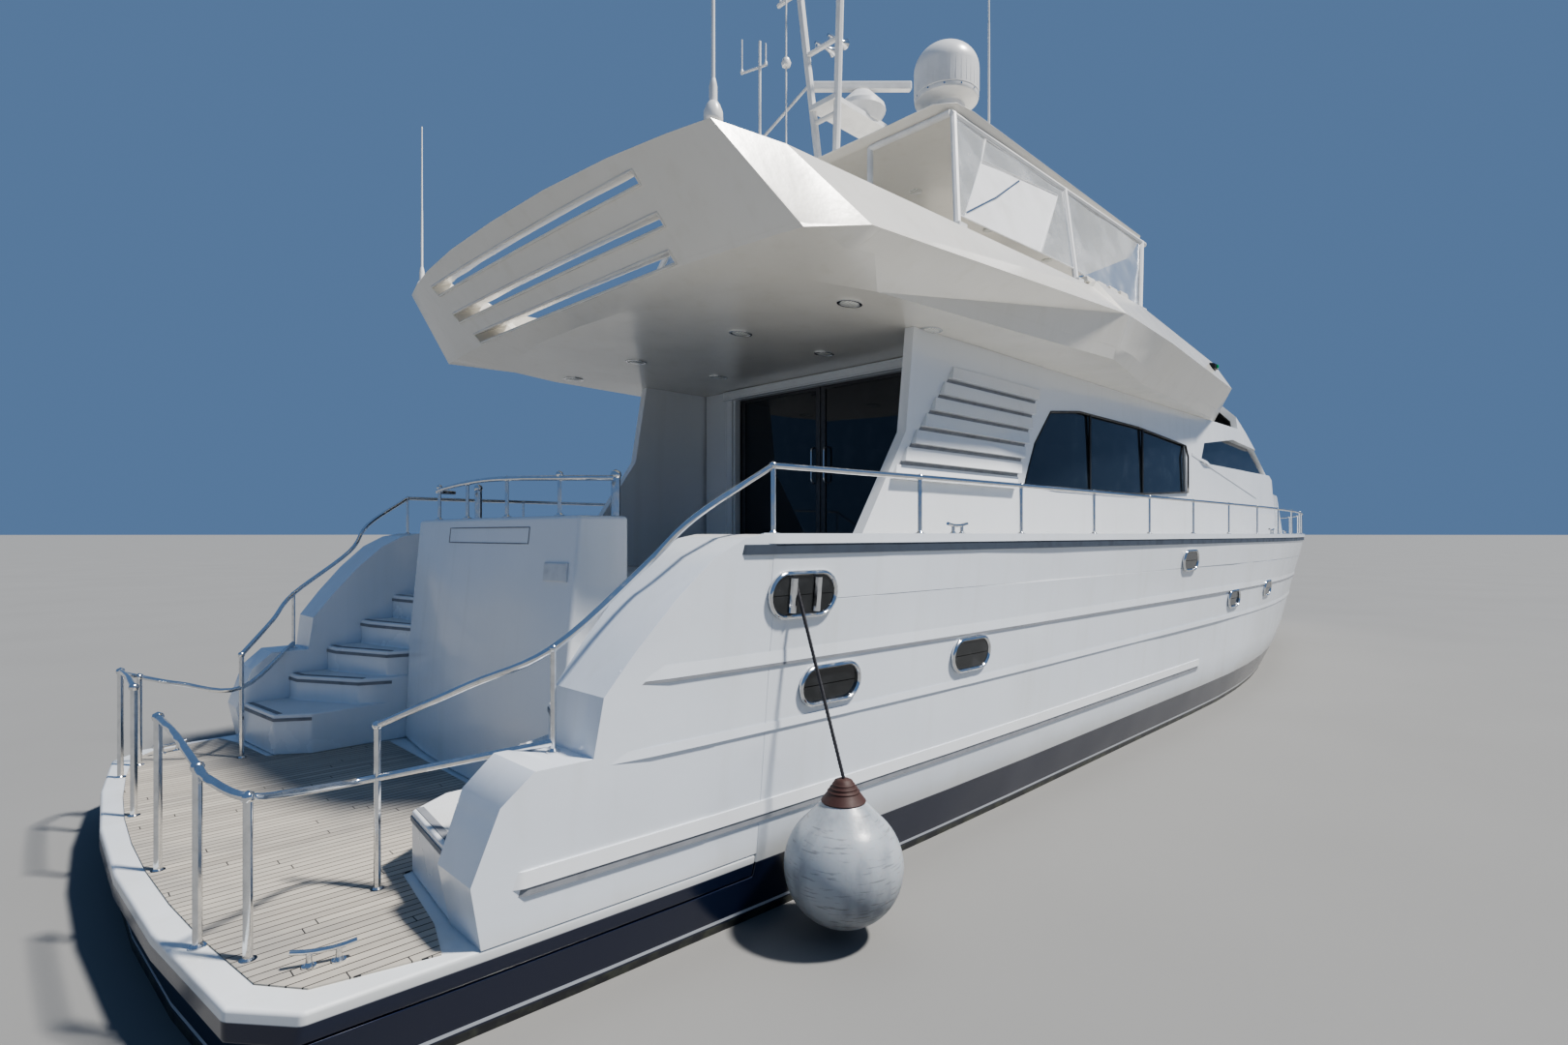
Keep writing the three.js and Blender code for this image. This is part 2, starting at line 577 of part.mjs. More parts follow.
function addUpperDeck() {
  const outer = deckForm(deckLevels);
  const pocket = deckForm([
    {
      heights: level(FLY_FLOOR_Z - 10), midX: -8800, corner: [-8250, 2150], shoulder: [-7800, 2550],
      half: 2620, frontX: 2050, frontHalf: 1500,
    },
    {
      heights: level(5700), midX: -10900, corner: [-10850, 2450], shoulder: [-9600, 2330],
      half: 2330, frontX: 2050, frontHalf: 1450,
    },
  ]);
  const across = slots.map(({ x, z, half }) => {
    const slot = new THREE.BoxGeometry(900, 2 * half, SLOT_HEIGHT);
    return slot.rotateY(SLOT_TILT).translate(x, 0, z);
  });
  const tray = cut(outer, pocket);
  const slabSpace = box(-FAR, FAR, -FAR, FAR, 0, FLY_FLOOR_Z - SEAT_GAP);
  addPart('upper_deck', cut(common(outer, slabSpace), ...across), WHITE);

  const above = common(tray, box(-FAR, FAR, -FAR, FAR, FLY_FLOOR_Z, FAR));
  const aftPart = common(above, box(-FAR, COAMING_SPLIT_X - SEAT_GAP, -FAR, FAR, 0, FAR));
  addPart('coaming_aft', cut(aftPart, ...across), WHITE);
  const sidePart = common(above, box(COAMING_SPLIT_X, STEP_X + 40, 0, FAR, 0, FAR));
  addPair('coaming_side', sidePart, WHITE);
  addPart('flybridge_brow', common(above, box(STEP_X + 40 + SEAT_GAP, FAR, -FAR, FAR, 0, FAR)), WHITE);
}

// Flybridge fittings: console with its wheel, bench at the helm, settee
const WHEEL = { x: 640, z: 5330, radius: 190, hub: 95, tilt: 0.5 };

function addFlybridge() {
  const floor = FLY_FLOOR_Z + SEAT_GAP;
  const consoleOutline = [
    [700, floor], [1500, floor], [1750, 5000], [1750, 5150], [1150, 5420], [760, 5260],
  ];
  const column = rod([0, 0, WHEEL.hub + RUNNING_GAP], [0, 0, WHEEL.hub + 110], 32, 12);
  column.rotateY(Math.PI / 2 + WHEEL.tilt).translate(WHEEL.x, 0, WHEEL.z);
  addPart('fly_console', join(prismY(consoleOutline, -800, 800), column), CONSOLE);
  const rim = new THREE.TorusGeometry(WHEEL.radius, 14, 6, 20);
  const spokes = [0, 1, 2].map((i) => {
    const angle = (i * 2 * Math.PI) / 3;
    return rod([0, 0, 0], [WHEEL.radius * Math.cos(angle), WHEEL.radius * Math.sin(angle), 0], 9, 6);
  });
  const hub = rod([0, 0, -20], [0, 0, WHEEL.hub], 30, 12);
  const wheel = join(rim, hub, ...spokes);
  const wheelPart = addPart('fly_wheel', wheel, STEEL);
  wheelPart.position.set(WHEEL.x, 0, WHEEL.z);
  wheelPart.rotation.y = Math.PI / 2 + WHEEL.tilt;

  const bench = join(
    box(-300, 250, -750, 750, floor + 380, floor + 560),
    box(-380, -250, -750, 750, floor + 380, floor + 1050),
    box(-250, 150, -650, 650, floor, floor + 400),
  );
  addPart('fly_bench', bench, VINYL);
  const settee = join(
    box(-3900, -1500, 1450, 2150, floor, floor + 420),
    box(-3900, -1500, 2050, 2250, floor, floor + 850),
    box(-3900, -3200, 300, 1500, floor, floor + 420),
  );
  addPart('fly_settee', settee, VINYL);
}

// Hardtop on its frames
const HARDTOP = { aftX: -6500, frontX: -900, half: 2230 };
// Columns: x and y of the foot, x of the head
const posts = [
  { footX: -6840, footY: 2510, headX: -6350 },
  { footX: -4560, footY: 2510, headX: -4080 },
  { footX: -2480, footY: 2385, headX: -1800 },
];
const FOOT_LIFT = 2.5 + SEAT_GAP;
const POST_HEAD_Y = 2150;
const FRAME_RADIUS = 32;
const AFT_LEG = { x: -6400, y: 1200 };

function addHardtop() {
  const { aftX, frontX, half } = HARDTOP;
  const outline = [
    [aftX, -half + 200], [aftX + 130, -half + 30], [aftX + 400, -half], [frontX - 900, -half + 80],
    [frontX - 250, -half + 450], [frontX, -half + 1100],
  ];
  const whole = [...outline, ...outline.map(([x, y]) => [x, -y]).reverse()];
  const rings = [
    [HARDTOP_Z, 0.97], [HARDTOP_Z + 60, 1], [HARDTOP_Z + HARDTOP_THICKNESS, 0.93],
  ].map(([z, scale]) => whole.map(([x, y]) => [(x + 3750) * scale - 3750, y * scale, z]));
  addPart('hardtop', loft(rings), WHITE);

  const footOf = (x) => copingZ(x) + FOOT_LIFT;
  const headerZ = HARDTOP_Z - FRAME_RADIUS - SEAT_GAP;
  const legs = posts.map(({ footX, footY, headX }) =>
    rod([footX, footY, footOf(footX) + 25], [headX, POST_HEAD_Y, headerZ + 12], FRAME_RADIUS));
  const feet = posts.map(({ footX, footY }) =>
    box(footX - 60, footX + 60, footY - 60, footY + 60, footOf(footX), footOf(footX) + 50));
  const forePost = posts[posts.length - 1];
  const headerEnds = [AFT_LEG.x, forePost.headX + 100];
  const header = rod(...headerEnds.map((x) => [x, POST_HEAD_Y, headerZ]), FRAME_RADIUS);
  const crossBar = rod([AFT_LEG.x, AFT_LEG.y, headerZ], [AFT_LEG.x, POST_HEAD_Y, headerZ], FRAME_RADIUS);
  const floor = FLY_FLOOR_Z + SEAT_GAP;
  const aftLeg = rod([AFT_LEG.x, AFT_LEG.y, floor], [AFT_LEG.x, AFT_LEG.y, headerZ], FRAME_RADIUS);
  addPair('hardtop_frame', join(...legs, ...feet, header, crossBar, aftLeg), STEEL);
}

// Antennas, dome, mast and radar on the hardtop
const HARDTOP_TOP_Z = HARDTOP_Z + HARDTOP_THICKNESS;
const MAST_X = -5700;
const MAST_TOP_Z = 9600;
const YARD_Z = 8890;
const RADAR_X = -5080;
const RADAR_Z = 7850;
const RADAR_TURN = Math.PI / 4;

// A point of a mast leg: side, share of its length from the foot
const MAST_LEG = { topZ: MAST_TOP_Z - 700, lean: 150, footY: 110, headY: 330 };

function onLeg(side, share) {
  const { topZ, lean, footY, headY } = MAST_LEG;
  const z = HARDTOP_TOP_Z + 25 + (topZ - HARDTOP_TOP_Z - 25) * share;
  return [MAST_X - lean * share, side * (footY + (headY - footY) * share), z];
}

function addMast() {
  const base = HARDTOP_TOP_Z + SEAT_GAP;
  const { footY, lean } = MAST_LEG;
  const legs = [-1, 1].map((side) => rod(onLeg(side, 0), onLeg(side, 1), 45));
  const feet = [-1, 1].map((side) =>
    box(MAST_X - 90, MAST_X + 90, side * footY - 80, side * footY + 80, base, base + 40));
  const rungs = [0.33, 0.67].map((share) => rod(onLeg(-1, share), onLeg(1, share), 30));
  const pole = rod([MAST_X - lean, 0, YARD_Z], [MAST_X - lean, 0, MAST_TOP_Z], 38);
  const yard = rod([MAST_X - lean, -700, YARD_Z], [MAST_X - lean, 700, YARD_Z], 28);
  const shelfZ = RADAR_Z - 440;
  const shelf = box(MAST_X - 120, RADAR_X + 250, -200, 200, shelfZ, shelfZ + 60);
  const pedestalBase = shelfZ + 40;
  const pedestal = lathe([[0, pedestalBase], [220, pedestalBase], [300, pedestalBase + 150],
    [290, pedestalBase + 210], [130, RADAR_Z - 20], [0, RADAR_Z - 20]], 20);
  pedestal.translate(RADAR_X, 0, 0);
  addPart('mast', join(...legs, ...feet, ...rungs, pole, yard, shelf, pedestal), WHITE);
  const bar = box(-55, 55, -620, 620, RADAR_Z + 10, RADAR_Z + 120);
  const spindle = rod([0, 0, RADAR_Z - 20 + RUNNING_GAP], [0, 0, RADAR_Z + 30], 45, 12);
  const scanner = join(bar, spindle).rotateZ(RADAR_TURN);
  addPart('radar_scanner', scanner.translate(RADAR_X, 0, 0), WHITE);

  const dome = lathe([[0, base], [190, base], [180, base + 160], [300, base + 200], [320, base + 240],
    [320, base + 500], [290, base + 620], [200, base + 720], [90, base + 765], [0, base + 775]], 24);
  addPart('satellite_dome', dome.translate(-5980, -1830, 0), WHITE);
}

// Whip antennas. Columns: name, x, y, height of the foot, length
const whips = [
  { name: 'starboard_aft', x: -9480, y: -2430, z: 4900, length: 2400 },
  { name: 'port_aft', x: -9480, y: 2430, z: 4900, length: 1800 },
  { name: 'hardtop', x: -5000, y: -1730, z: HARDTOP_TOP_Z, length: 3000 },
];

function addWhips() {
  whips.forEach(({ name, x, y, z, length }) => {
    const base = z + SEAT_GAP;
    const whip = lathe([[0, base], [45, base], [45, base + 30], [28, base + 60], [25, base + 260],
      [14, base + 300], [9, base + length], [0, base + length]], 10);
    addPart('whip_' + name, whip.translate(x, y, 0), WHITE);
  });
}

// Rails. The cap rail runs from the bow aft, then down the quarter to the platform
const RAIL_Z = 2750;
const RAIL_RADIUS = 19;
const POST_PITCH = 1390;
const RAIL_FRONT_X = 11700;

function capPoint(x, height) {
  const station = (x - AFT_X) / (SHEER_STEM_X - AFT_X);
  const [, y] = hullPoint(hullLines.sheer, station);
  return [x, Math.max(y - BULWARK_THICKNESS / 2, 45), height];
}

function capRail() {
  const count = 16;
  const stations = Array.from({ length: count }, (_, i) => WELL_X + i * POST_PITCH);
  stations.push(RAIL_FRONT_X);
  const along = stations.map((x) => capPoint(x, RAIL_Z));
  const down = [[-9900, 2790, 2450], [-10130, 2620, 2170], [-10640, 2560, 1770], [-10900, 2150, 1560],
    [-11210, 1720, 1330]];
  const quarter = tube([...down.reverse(), along[0]], RAIL_RADIUS, 16, 6);
  const top = tube(along, RAIL_RADIUS, 17, 6);
  const uprights = stations.map((x) => rod(capPoint(x, CAP_Z + SEAT_GAP), capPoint(x, RAIL_Z), 15, 6));
  const ledgePost = rod([-10640, 2560, LEDGE_Z + SEAT_GAP], [-10640, 2560, 1770], 15, 6);
  const platformPost = rod([-11210, 1720, PLATFORM_Z + SEAT_GAP], [-11210, 1720, 1330], 18, 6);
  return [quarter, top, ...uprights, ledgePost, platformPost];
}

function platformRail() {
  const rail = tube([[-11210, 1720, 1050], [-11600, 1900, 1110], [-11850, 2060, 1180], [-11960, 1900, 1240],
    [-11990, 1760, 1280], [-12000, 1150, 1320], [-12010, 600, 1320]], RAIL_RADIUS, 20, 6);
  const foot = PLATFORM_Z + SEAT_GAP;
  const uprights = [[-12010, 600, 1320], [-11990, 1760, 1280], [-11850, 2060, 1180]].map(([x, y, z]) =>
    rod([x, y, foot], [x, y, z], 20, 6));
  return [rail, ...uprights];
}

function addRails() {
  addPair('side_rail', join(...capRail(), ...platformRail()), STEEL);
  const railX = -9800;
  const top = tube([[railX + 250, -1400, RAIL_Z], [railX, -1150, RAIL_Z], [railX - 60, 0, RAIL_Z + 40],
    [railX, 1150, RAIL_Z], [railX + 250, 1400, RAIL_Z]], RAIL_RADIUS, 14, 6);
  const uprights = [-1100, -370, 370, 1100].map((y) => {
    const x = railX - 60 * (1 - (y / 1150) ** 2);
    return rod([x, y, TRANSOM_TOP_Z + SEAT_GAP], [x, y, RAIL_Z + 20], 15, 6);
  });
  addPart('transom_rail', join(top, ...uprights), STEEL);
}

// Propellers with their shafts, struts and rudders
const PROP_RADIUS = 390;
const PROP_PITCH = 0.55;

function addRunningGear() {
  const down = new THREE.Quaternion().setFromUnitVectors(new THREE.Vector3(0, 0, 1), shaftAxis);
  const atShaft = (geometry) => geometry.applyQuaternion(down).translate(logEnd.x, logEnd.y, logEnd.z);
  const hubStart = SHAFT_TO_PROP - 130;
  const shaft = lathe([[0, RUNNING_GAP], [SHAFT_RADIUS, RUNNING_GAP], [SHAFT_RADIUS, hubStart + 10],
    [85, hubStart + 10], [95, hubStart + 140], [70, hubStart + 260], [20, hubStart + 300],
    [0, hubStart + 300]], 16);
  const blades = [0, 1, 2, 3].map((i) => {
    const outline = new THREE.Shape();
    outline.moveTo(-70, 60);
    outline.bezierCurveTo(-190, 200, -150, PROP_RADIUS, 0, PROP_RADIUS);
    outline.bezierCurveTo(170, PROP_RADIUS, 190, 200, 70, 60);
    const plate = new THREE.ExtrudeGeometry(outline, { depth: 16, bevelEnabled: false, curveSegments: 5 });
    plate.translate(0, 0, -8);
    plate.rotateY(PROP_PITCH);
    return plate.rotateZ((i * Math.PI) / 2).translate(0, 0, SHAFT_TO_PROP);
  });
  addPair('propeller', atShaft(join(shaft, ...blades)), BRONZE);

  const strutAt = SHAFT_TO_PROP - 330;
  const ring = cut(
    lathe([[0, strutAt - 110], [85, strutAt - 110], [85, strutAt + 110], [0, strutAt + 110]], 16),
    lathe([[0, strutAt - 200], [SHAFT_RADIUS + 2, strutAt - 200], [SHAFT_RADIUS + 2, strutAt + 200],
      [0, strutAt + 200]], 16),
  );
  const centre = new THREE.Vector3(...onShaft(strutAt));
  const leg = box(centre.x - 90, centre.x + 90, centre.y - 15, centre.y + 15, centre.z + 65, -250);
  const strut = cut(join(atShaft(ring), leg), hullSkin(['deck']));
  addPair('shaft_strut', moved(strut, 0, 0, -SEAT_GAP), BRONZE);

  const top = RUDDER_TOP_Z - RUNNING_GAP;
  const halfFoil = [[-470, 0], [-200, 34], [60, 48], [150, 26], [175, 0]];
  const foil = [...halfFoil, ...halfFoil.slice(1, -1).reverse().map(([x, y]) => [x, -y])];
  const rudderBlade = loft([
    foil.map(([x, y]) => [RUDDER_X + x, SHAFT_Y + y, -1400]),
    foil.map(([x, y]) => [RUDDER_X + x * 1.1, SHAFT_Y + y * 1.1, -660]),
  ]);
  const stock = rod([RUDDER_X, SHAFT_Y, -700], [RUDDER_X, SHAFT_Y, top], RUDDER_STOCK_RADIUS, 16);
  addPair('rudder', join(rudderBlade, stock), BRONZE);
}

// Saloon and pilothouse furniture seen through the glass
function addInterior() {
  const floor = DECK_Z + SEAT_GAP;
  const sofa = join(
    box(-4600, -1200, -1900, -1300, floor, floor + 430),
    box(-4600, -1200, -1980, -1800, floor, floor + 820),
    box(-1900, -1200, -1400, -300, floor, floor + 430),
  );
  addPart('saloon_sofa', sofa, VINYL);
  const helmOutline = [[4200, floor], [5600, floor], [5600, 3150], [4900, 3350], [4200, 3100]];
  addPart('inner_helm', prismY(helmOutline, -1300, 1300), CONSOLE);
}

// Ball fender hung on its line from the hawse hole in the starboard bulwark
const HAWSE = { x: -9300, y: -2965, z: 2090 };

function addFender() {
  const [x, y, z] = [-9140, -3210, 420];
  const ball = lathe([[0, -350], [133, -324], [248, -248], [324, -133], [350, 0], [330, 125], [265, 240],
    [170, 335], [90, 420], [48, 475], [35, 500], [0, 500]], 20);
  addPart('fender', ball.translate(x, y, z), RUBBER);
  const line = rod([x, y, z + 503 + SEAT_GAP], [HAWSE.x, HAWSE.y, HAWSE.z], 12, 8);
  addPart('fender_line', moved(cut(line, mirrored(bulwarkForm())), 0, -SEAT_GAP, 0), ROPE);
}

addHull();
addPair('bulwark', bulwarkForm(), WHITE);
addStairs();
addTransom();
addHouse();
addBulkhead();
addForedeck();
addUpperDeck();
addFlybridge();
addHardtop();
addMast();
addWhips();
addRails();
addRunningGear();
addInterior();
addFender();

export default root;
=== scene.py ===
"""Looks of the motor yacht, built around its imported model. Metres, +X to the bow, +Z up."""
import json
from contextlib import contextmanager
from math import copysign, cos, pi, radians, sin

import bmesh
import bpy
from mathutils import Matrix, Vector
from mathutils.bvhtree import BVHTree


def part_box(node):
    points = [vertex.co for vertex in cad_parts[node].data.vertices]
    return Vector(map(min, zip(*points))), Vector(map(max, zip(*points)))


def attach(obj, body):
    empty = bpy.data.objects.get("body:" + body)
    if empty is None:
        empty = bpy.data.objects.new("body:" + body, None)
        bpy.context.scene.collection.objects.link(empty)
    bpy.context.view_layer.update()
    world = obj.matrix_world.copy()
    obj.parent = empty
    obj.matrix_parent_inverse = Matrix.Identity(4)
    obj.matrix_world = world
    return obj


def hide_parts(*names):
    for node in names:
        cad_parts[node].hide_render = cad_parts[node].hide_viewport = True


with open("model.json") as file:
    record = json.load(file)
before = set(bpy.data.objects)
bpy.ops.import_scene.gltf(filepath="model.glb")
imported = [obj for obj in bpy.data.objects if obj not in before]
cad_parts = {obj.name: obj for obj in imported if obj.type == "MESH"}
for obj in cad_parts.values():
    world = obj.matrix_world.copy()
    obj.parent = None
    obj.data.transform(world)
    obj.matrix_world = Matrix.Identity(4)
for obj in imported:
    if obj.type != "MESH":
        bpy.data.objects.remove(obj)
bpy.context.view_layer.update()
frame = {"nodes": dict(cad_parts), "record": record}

# Places and sizes that the pieces share, as in the solids
DECK_Z = 1.95
CAP_Z = 2.35
PLATFORM_Z = 0.45
SOFFIT_Z = 4.2
RAIL_Z = 2.75
TRANSOM_TOP_Z = 2.48
HARDTOP_Z = 6.3
HARDTOP_TOP_Z = 6.45
HOUSE_HALF = 2.15
BULKHEAD_X = -5.95
SIDES = {"port": 1, "starboard": -1}
# Gelcoat white, with a little blue added as painted sky-lit shade
WHITE = (0.80, 0.82, 0.84)
CREAM = (0.80, 0.775, 0.715)

body_of = {node: body for body, nodes in frame["record"]["behaviour"]["bodies"].items() for node in nodes}


# Materials

def maths(operation):
    """A method that applies one operation of the maths node."""
    return lambda self, *others: self.finish.node("ShaderNodeMath", {"operation": operation}, self, *others)


class Level:
    """A number that varies over a surface, with the usual arithmetic."""

    def __init__(self, finish, socket):
        self.finish, self.socket = finish, socket

    __add__ = __radd__ = maths("ADD")
    __sub__ = maths("SUBTRACT")
    __mul__ = __rmul__ = maths("MULTIPLY")
    __truediv__ = maths("DIVIDE")
    part = maths("FRACT")
    floor = maths("FLOOR")
    size = maths("ABSOLUTE")
    sine = maths("SINE")
    least = maths("MINIMUM")
    most = maths("MAXIMUM")

    def rise(self, low, high):
        """0 below low and 1 above high, smooth between; falls where low is above high."""
        ends = (low, high, 0.0, 1.0) if low < high else (high, low, 1.0, 0.0)
        return self.finish.node("ShaderNodeMapRange", {"interpolation_type": "SMOOTHSTEP"}, self, *ends)


class Finish:
    """One material on a Principled shader. Words of a constant's name are joined by underscores."""

    def __init__(self, name, **constants):
        self.material = bpy.data.materials.new(name)
        self.material.use_nodes = True
        self.tree = self.material.node_tree
        self.shader = self.tree.nodes["Principled BSDF"]
        for socket, value in constants.items():
            self.shader.inputs[socket.replace("_", " ")].default_value = value
        self.place = self.node("ShaderNodeTexCoord", {"output": "Object"})
        self.x, self.y, self.z = self.parts(self.place)

    def node(self, kind, settings, *values):
        """A node with its settings, then the values or links of its sockets in order."""
        settings = dict(settings)
        output = settings.pop("output", 0)
        node = self.tree.nodes.new(kind)
        for key, value in settings.items():
            setattr(node, key, value)
        for socket, value in zip(node.inputs, values):
            if isinstance(value, Level):
                self.tree.links.new(value.socket, socket)
            elif value is not None:
                socket.default_value = value
        return Level(self, node.outputs[output])

    def parts(self, vector):
        node = self.tree.nodes.new("ShaderNodeSeparateXYZ")
        self.tree.links.new(vector.socket, node.inputs[0])
        return [Level(self, output) for output in node.outputs]

    def noise(self, scale, detail=3.0, along=None):
        place = self.place
        if along:
            place = self.node("ShaderNodeMapping", {}, place, (0, 0, 0), (0, 0, 0), along)
        return self.node("ShaderNodeTexNoise", {}, place, None, scale, detail)

    def cells(self, scale, feature="F1"):
        return self.node("ShaderNodeTexVoronoi", {"feature": feature}, self.place, None, scale)

    def chance(self, number):
        """A steady random number from 0 to 1 for each whole number."""
        return self.node("ShaderNodeTexWhiteNoise", {"noise_dimensions": "1D"}, None, number)

    def mix(self, share, low, high):
        settings = {"data_type": "RGBA", "output": 2}
        low, high = [value if isinstance(value, Level) else (*value, 1.0) for value in (low, high)]
        return self.node("ShaderNodeMix", settings, share, None, None, None, None, None, low, high)

    def feed(self, socket, value):
        self.tree.links.new(value.socket, self.shader.inputs[socket])

    def made(self, colour, roughness, height, distance, alpha=None):
        """Feeds the shader, bumps it by a height and hands over the material."""
        self.feed("Base Color", colour)
        self.feed("Roughness", roughness)
        if alpha:
            self.feed("Alpha", alpha)
        bump = self.node("ShaderNodeBump", {})
        sockets = bump.socket.node.inputs
        sockets["Strength"].default_value = 1.0
        sockets["Distance"].default_value = distance
        self.tree.links.new(height.socket, sockets["Height"])
        self.feed("Normal", bump)
        return self.material

    def upward(self):
        """1 where the surface faces up."""
        normal = self.node("ShaderNodeNewGeometry", {"output": "Normal"})
        return self.parts(normal)[2].rise(0.93, 0.97)


def shade(tone, share):
    return tuple(value * share for value in tone)


def aged(finish, tone, amount):
    """Gelcoat's uneven whiteness: broad clouds and faint runs down the sides."""
    clouds = finish.noise(0.7, 4.0).rise(0.42, 0.72)
    runs = finish.noise(3.0, 4.0, along=(2.2, 2.2, 0.12)).rise(0.5, 0.78)
    dull = (tone[0] * 0.9, tone[1] * 0.89, tone[2] * 0.85)
    return finish.mix((clouds * 0.5 + runs * 0.6) * amount, tone, dull)


def fairness(finish):
    """Slow waves in a moulded skin, and its very fine orange peel."""
    return finish.noise(0.55, 2.0) + finish.noise(14.0, 2.0) * 0.012


def gelcoat(name, tone, amount=0.5):
    finish = Finish(name, Coat_Weight=0.3, Coat_Roughness=0.08)
    return finish.made(aged(finish, tone, amount), finish.noise(2.5, 3.0) * 0.14 + 0.15, fairness(finish), 0.05)


def deck_gelcoat(name, tone):
    """Gelcoat with a moulded non-skid grain where it faces up, and gloss on its sides."""
    finish = Finish(name, Coat_Weight=0.12, Coat_Roughness=0.2)
    up = finish.upward()
    grain = finish.cells(160.0).rise(0.15, 0.6)
    worn_down = finish.noise(1.4, 5.0).rise(0.38, 0.7)
    trodden = finish.mix(worn_down * 0.7, shade(tone, 0.93), (tone[0] * 0.78, tone[1] * 0.77, tone[2] * 0.73))
    return finish.made(finish.mix(up, aged(finish, tone, 0.5), trodden), up * 0.38 + 0.2 + worn_down * 0.1,
                       fairness(finish) * 0.3 + grain * up * 0.05, 0.02)


def hull_gelcoat():
    """White topsides, navy boot stripe with its foot line, dark bottom paint, and the topsides darker and browner
    just above the stripe.
    """
    finish = Finish("hull_gelcoat", Coat_Weight=0.35, Coat_Roughness=0.06)
    ahead = finish.x.most(0.0)
    stripe_top = ahead * ahead * 0.0018 + 0.395
    stripe = (finish.z - stripe_top).rise(0.004, -0.004)
    foot = finish.z.rise(0.055, 0.049)
    line = (finish.z - 0.075).size().rise(0.013, 0.009)
    low_band_level = finish.z + finish.noise(3.0, 5.0) * 0.12
    # Topsides white, with a blue tint added as painted sky-lit shade
    topsides = aged(finish, (0.76, 0.80, 0.85), 0.7)
    low_band_tinted = finish.mix(low_band_level.rise(0.62, 0.44) * 0.35, topsides, (0.55, 0.52, 0.42))
    striped = finish.mix(stripe, low_band_tinted, (0.008, 0.014, 0.04))
    lined = finish.mix(line, striped, (0.55, 0.58, 0.62))
    weed = finish.noise(9.0, 6.0).rise(0.4, 0.65)
    bottom = finish.mix(weed, (0.012, 0.014, 0.02), (0.05, 0.055, 0.04))
    up = finish.upward() * finish.z.rise(1.9, 1.94)
    sole = finish.mix(finish.noise(1.4, 5.0).rise(0.4, 0.7), (0.7, 0.7, 0.69), (0.6, 0.59, 0.56))
    grain = finish.cells(160.0).rise(0.15, 0.6)
    return finish.made(finish.mix(up, finish.mix(foot, lined, bottom), sole),
                       finish.noise(2.5, 3.0) * 0.12 + 0.13 + foot * 0.4 + up * 0.35,
                       fairness(finish) + foot * weed * 0.05 + up * grain * 0.02, 0.05)


def teak(plank=0.062, seam=0.006, length=2.4):
    """Silvered planks laid fore and aft with dark caulking, each plank of its own tone."""
    finish = Finish("deck_teak")
    across = finish.y / plank
    number = across.floor()
    edge = (across.part() - 0.5).size()
    caulk = edge.rise(0.5 - seam / plank / 2 - 0.01, 0.5 - seam / plank / 2)
    butt = ((finish.x + finish.chance(number) * length) / length).part().rise(0.0025, 0.0015)
    gap = caulk.most(butt)
    grain = finish.noise(30.0, 5.0, along=(0.35, 9.0, 1.0))
    tone = finish.chance(number + 7.3) * 0.55 + grain * 0.45
    stains = finish.noise(1.1, 5.0).rise(0.48, 0.7)
    wood = finish.mix(tone, (0.30, 0.275, 0.24), (0.52, 0.48, 0.41))
    weathered = finish.mix(stains * 0.55, wood, (0.24, 0.235, 0.225))
    return finish.made(finish.mix(gap, weathered, (0.02, 0.02, 0.022)), grain * 0.2 + 0.62 - gap * 0.1,
                       grain * 0.25 - gap, 0.0015)


def worn(name, clean, dull, patches, rough, relief, distance, amount=1.0, alpha=None, **constants):
    """A finish that goes from clean to dull in patches (scale, detail, low, high).

    dull is a tone or a share of the clean one, rough and alpha are (share of the patches, base), and
    relief is a noise (scale, detail, stretch) or a function that makes the height of the bump.
    """
    finish = Finish(name, **constants)
    scale, detail, low, high = patches
    wear = finish.noise(scale, detail).rise(low, high)
    height = relief(finish, wear) if callable(relief) else finish.noise(*relief)
    colour = finish.mix(wear * amount, clean, shade(clean, dull) if isinstance(dull, float) else dull)
    return finish.made(colour, wear * rough[0] + rough[1], height, distance,
                       alpha and wear * alpha[0] + alpha[1])


def satin_metal(name, tone, metallic):
    return worn(name, tone, 0.88, (25.0, 4.0, 0.4, 0.7), (0.12, 0.3), (500.0, 2.0), 0.0001, Metallic=metallic)


def plastic(name, tone, rough):
    return worn(name, tone, 0.8, (9.0, 5.0, 0.4, 0.75), (0.15, rough), (260.0, 3.0), 0.0003)


def paint(name, tone):
    """Enamel on the mast and antennas, a little chalked, with specks where it has chipped."""
    finish = Finish(name, Coat_Weight=0.15, Coat_Roughness=0.2)
    chalk = finish.noise(5.0, 5.0).rise(0.4, 0.7)
    specks = finish.cells(60.0).rise(0.07, 0.04)
    chalked = finish.mix(chalk, tone, shade(tone, 0.9))
    return finish.made(finish.mix(specks * 0.4, chalked, (0.4, 0.4, 0.4)), chalk * 0.2 + 0.28,
                       finish.noise(220.0, 2.0) + specks * -0.5, 0.0003)


def fender_skin():
    """Inflated vinyl, scuffed by rubbing, darker towards the bottom."""
    finish = Finish("fender_skin", Subsurface_Weight=0.12, Subsurface_Scale=0.02)
    scuffs = finish.noise(3.2, 6.0, along=(1.6, 1.6, 0.8)).rise(0.42, 0.7)
    scratches = finish.noise(26.0, 6.0, along=(0.3, 0.3, 3.0)).rise(0.56, 0.68)
    low = finish.z.rise(0.55, 0.15)
    skin = finish.mix(scuffs * 0.8, (0.38, 0.41, 0.44), (0.19, 0.21, 0.24))
    return finish.made(finish.mix((scratches * 0.5 + low * 0.35).least(0.85), skin, (0.12, 0.12, 0.12)),
                       scuffs * 0.25 + 0.3, scuffs * 0.3 + finish.noise(40.0, 4.0) * 0.25, 0.003)


def rope():
    finish = Finish("rope", Sheen_Weight=0.2)
    fuzz = finish.noise(420.0, 3.0)
    return finish.made(finish.mix(fuzz, (0.012, 0.012, 0.016), (0.06, 0.06, 0.07)), fuzz * 0.2 + 0.7, fuzz, 0.0008)


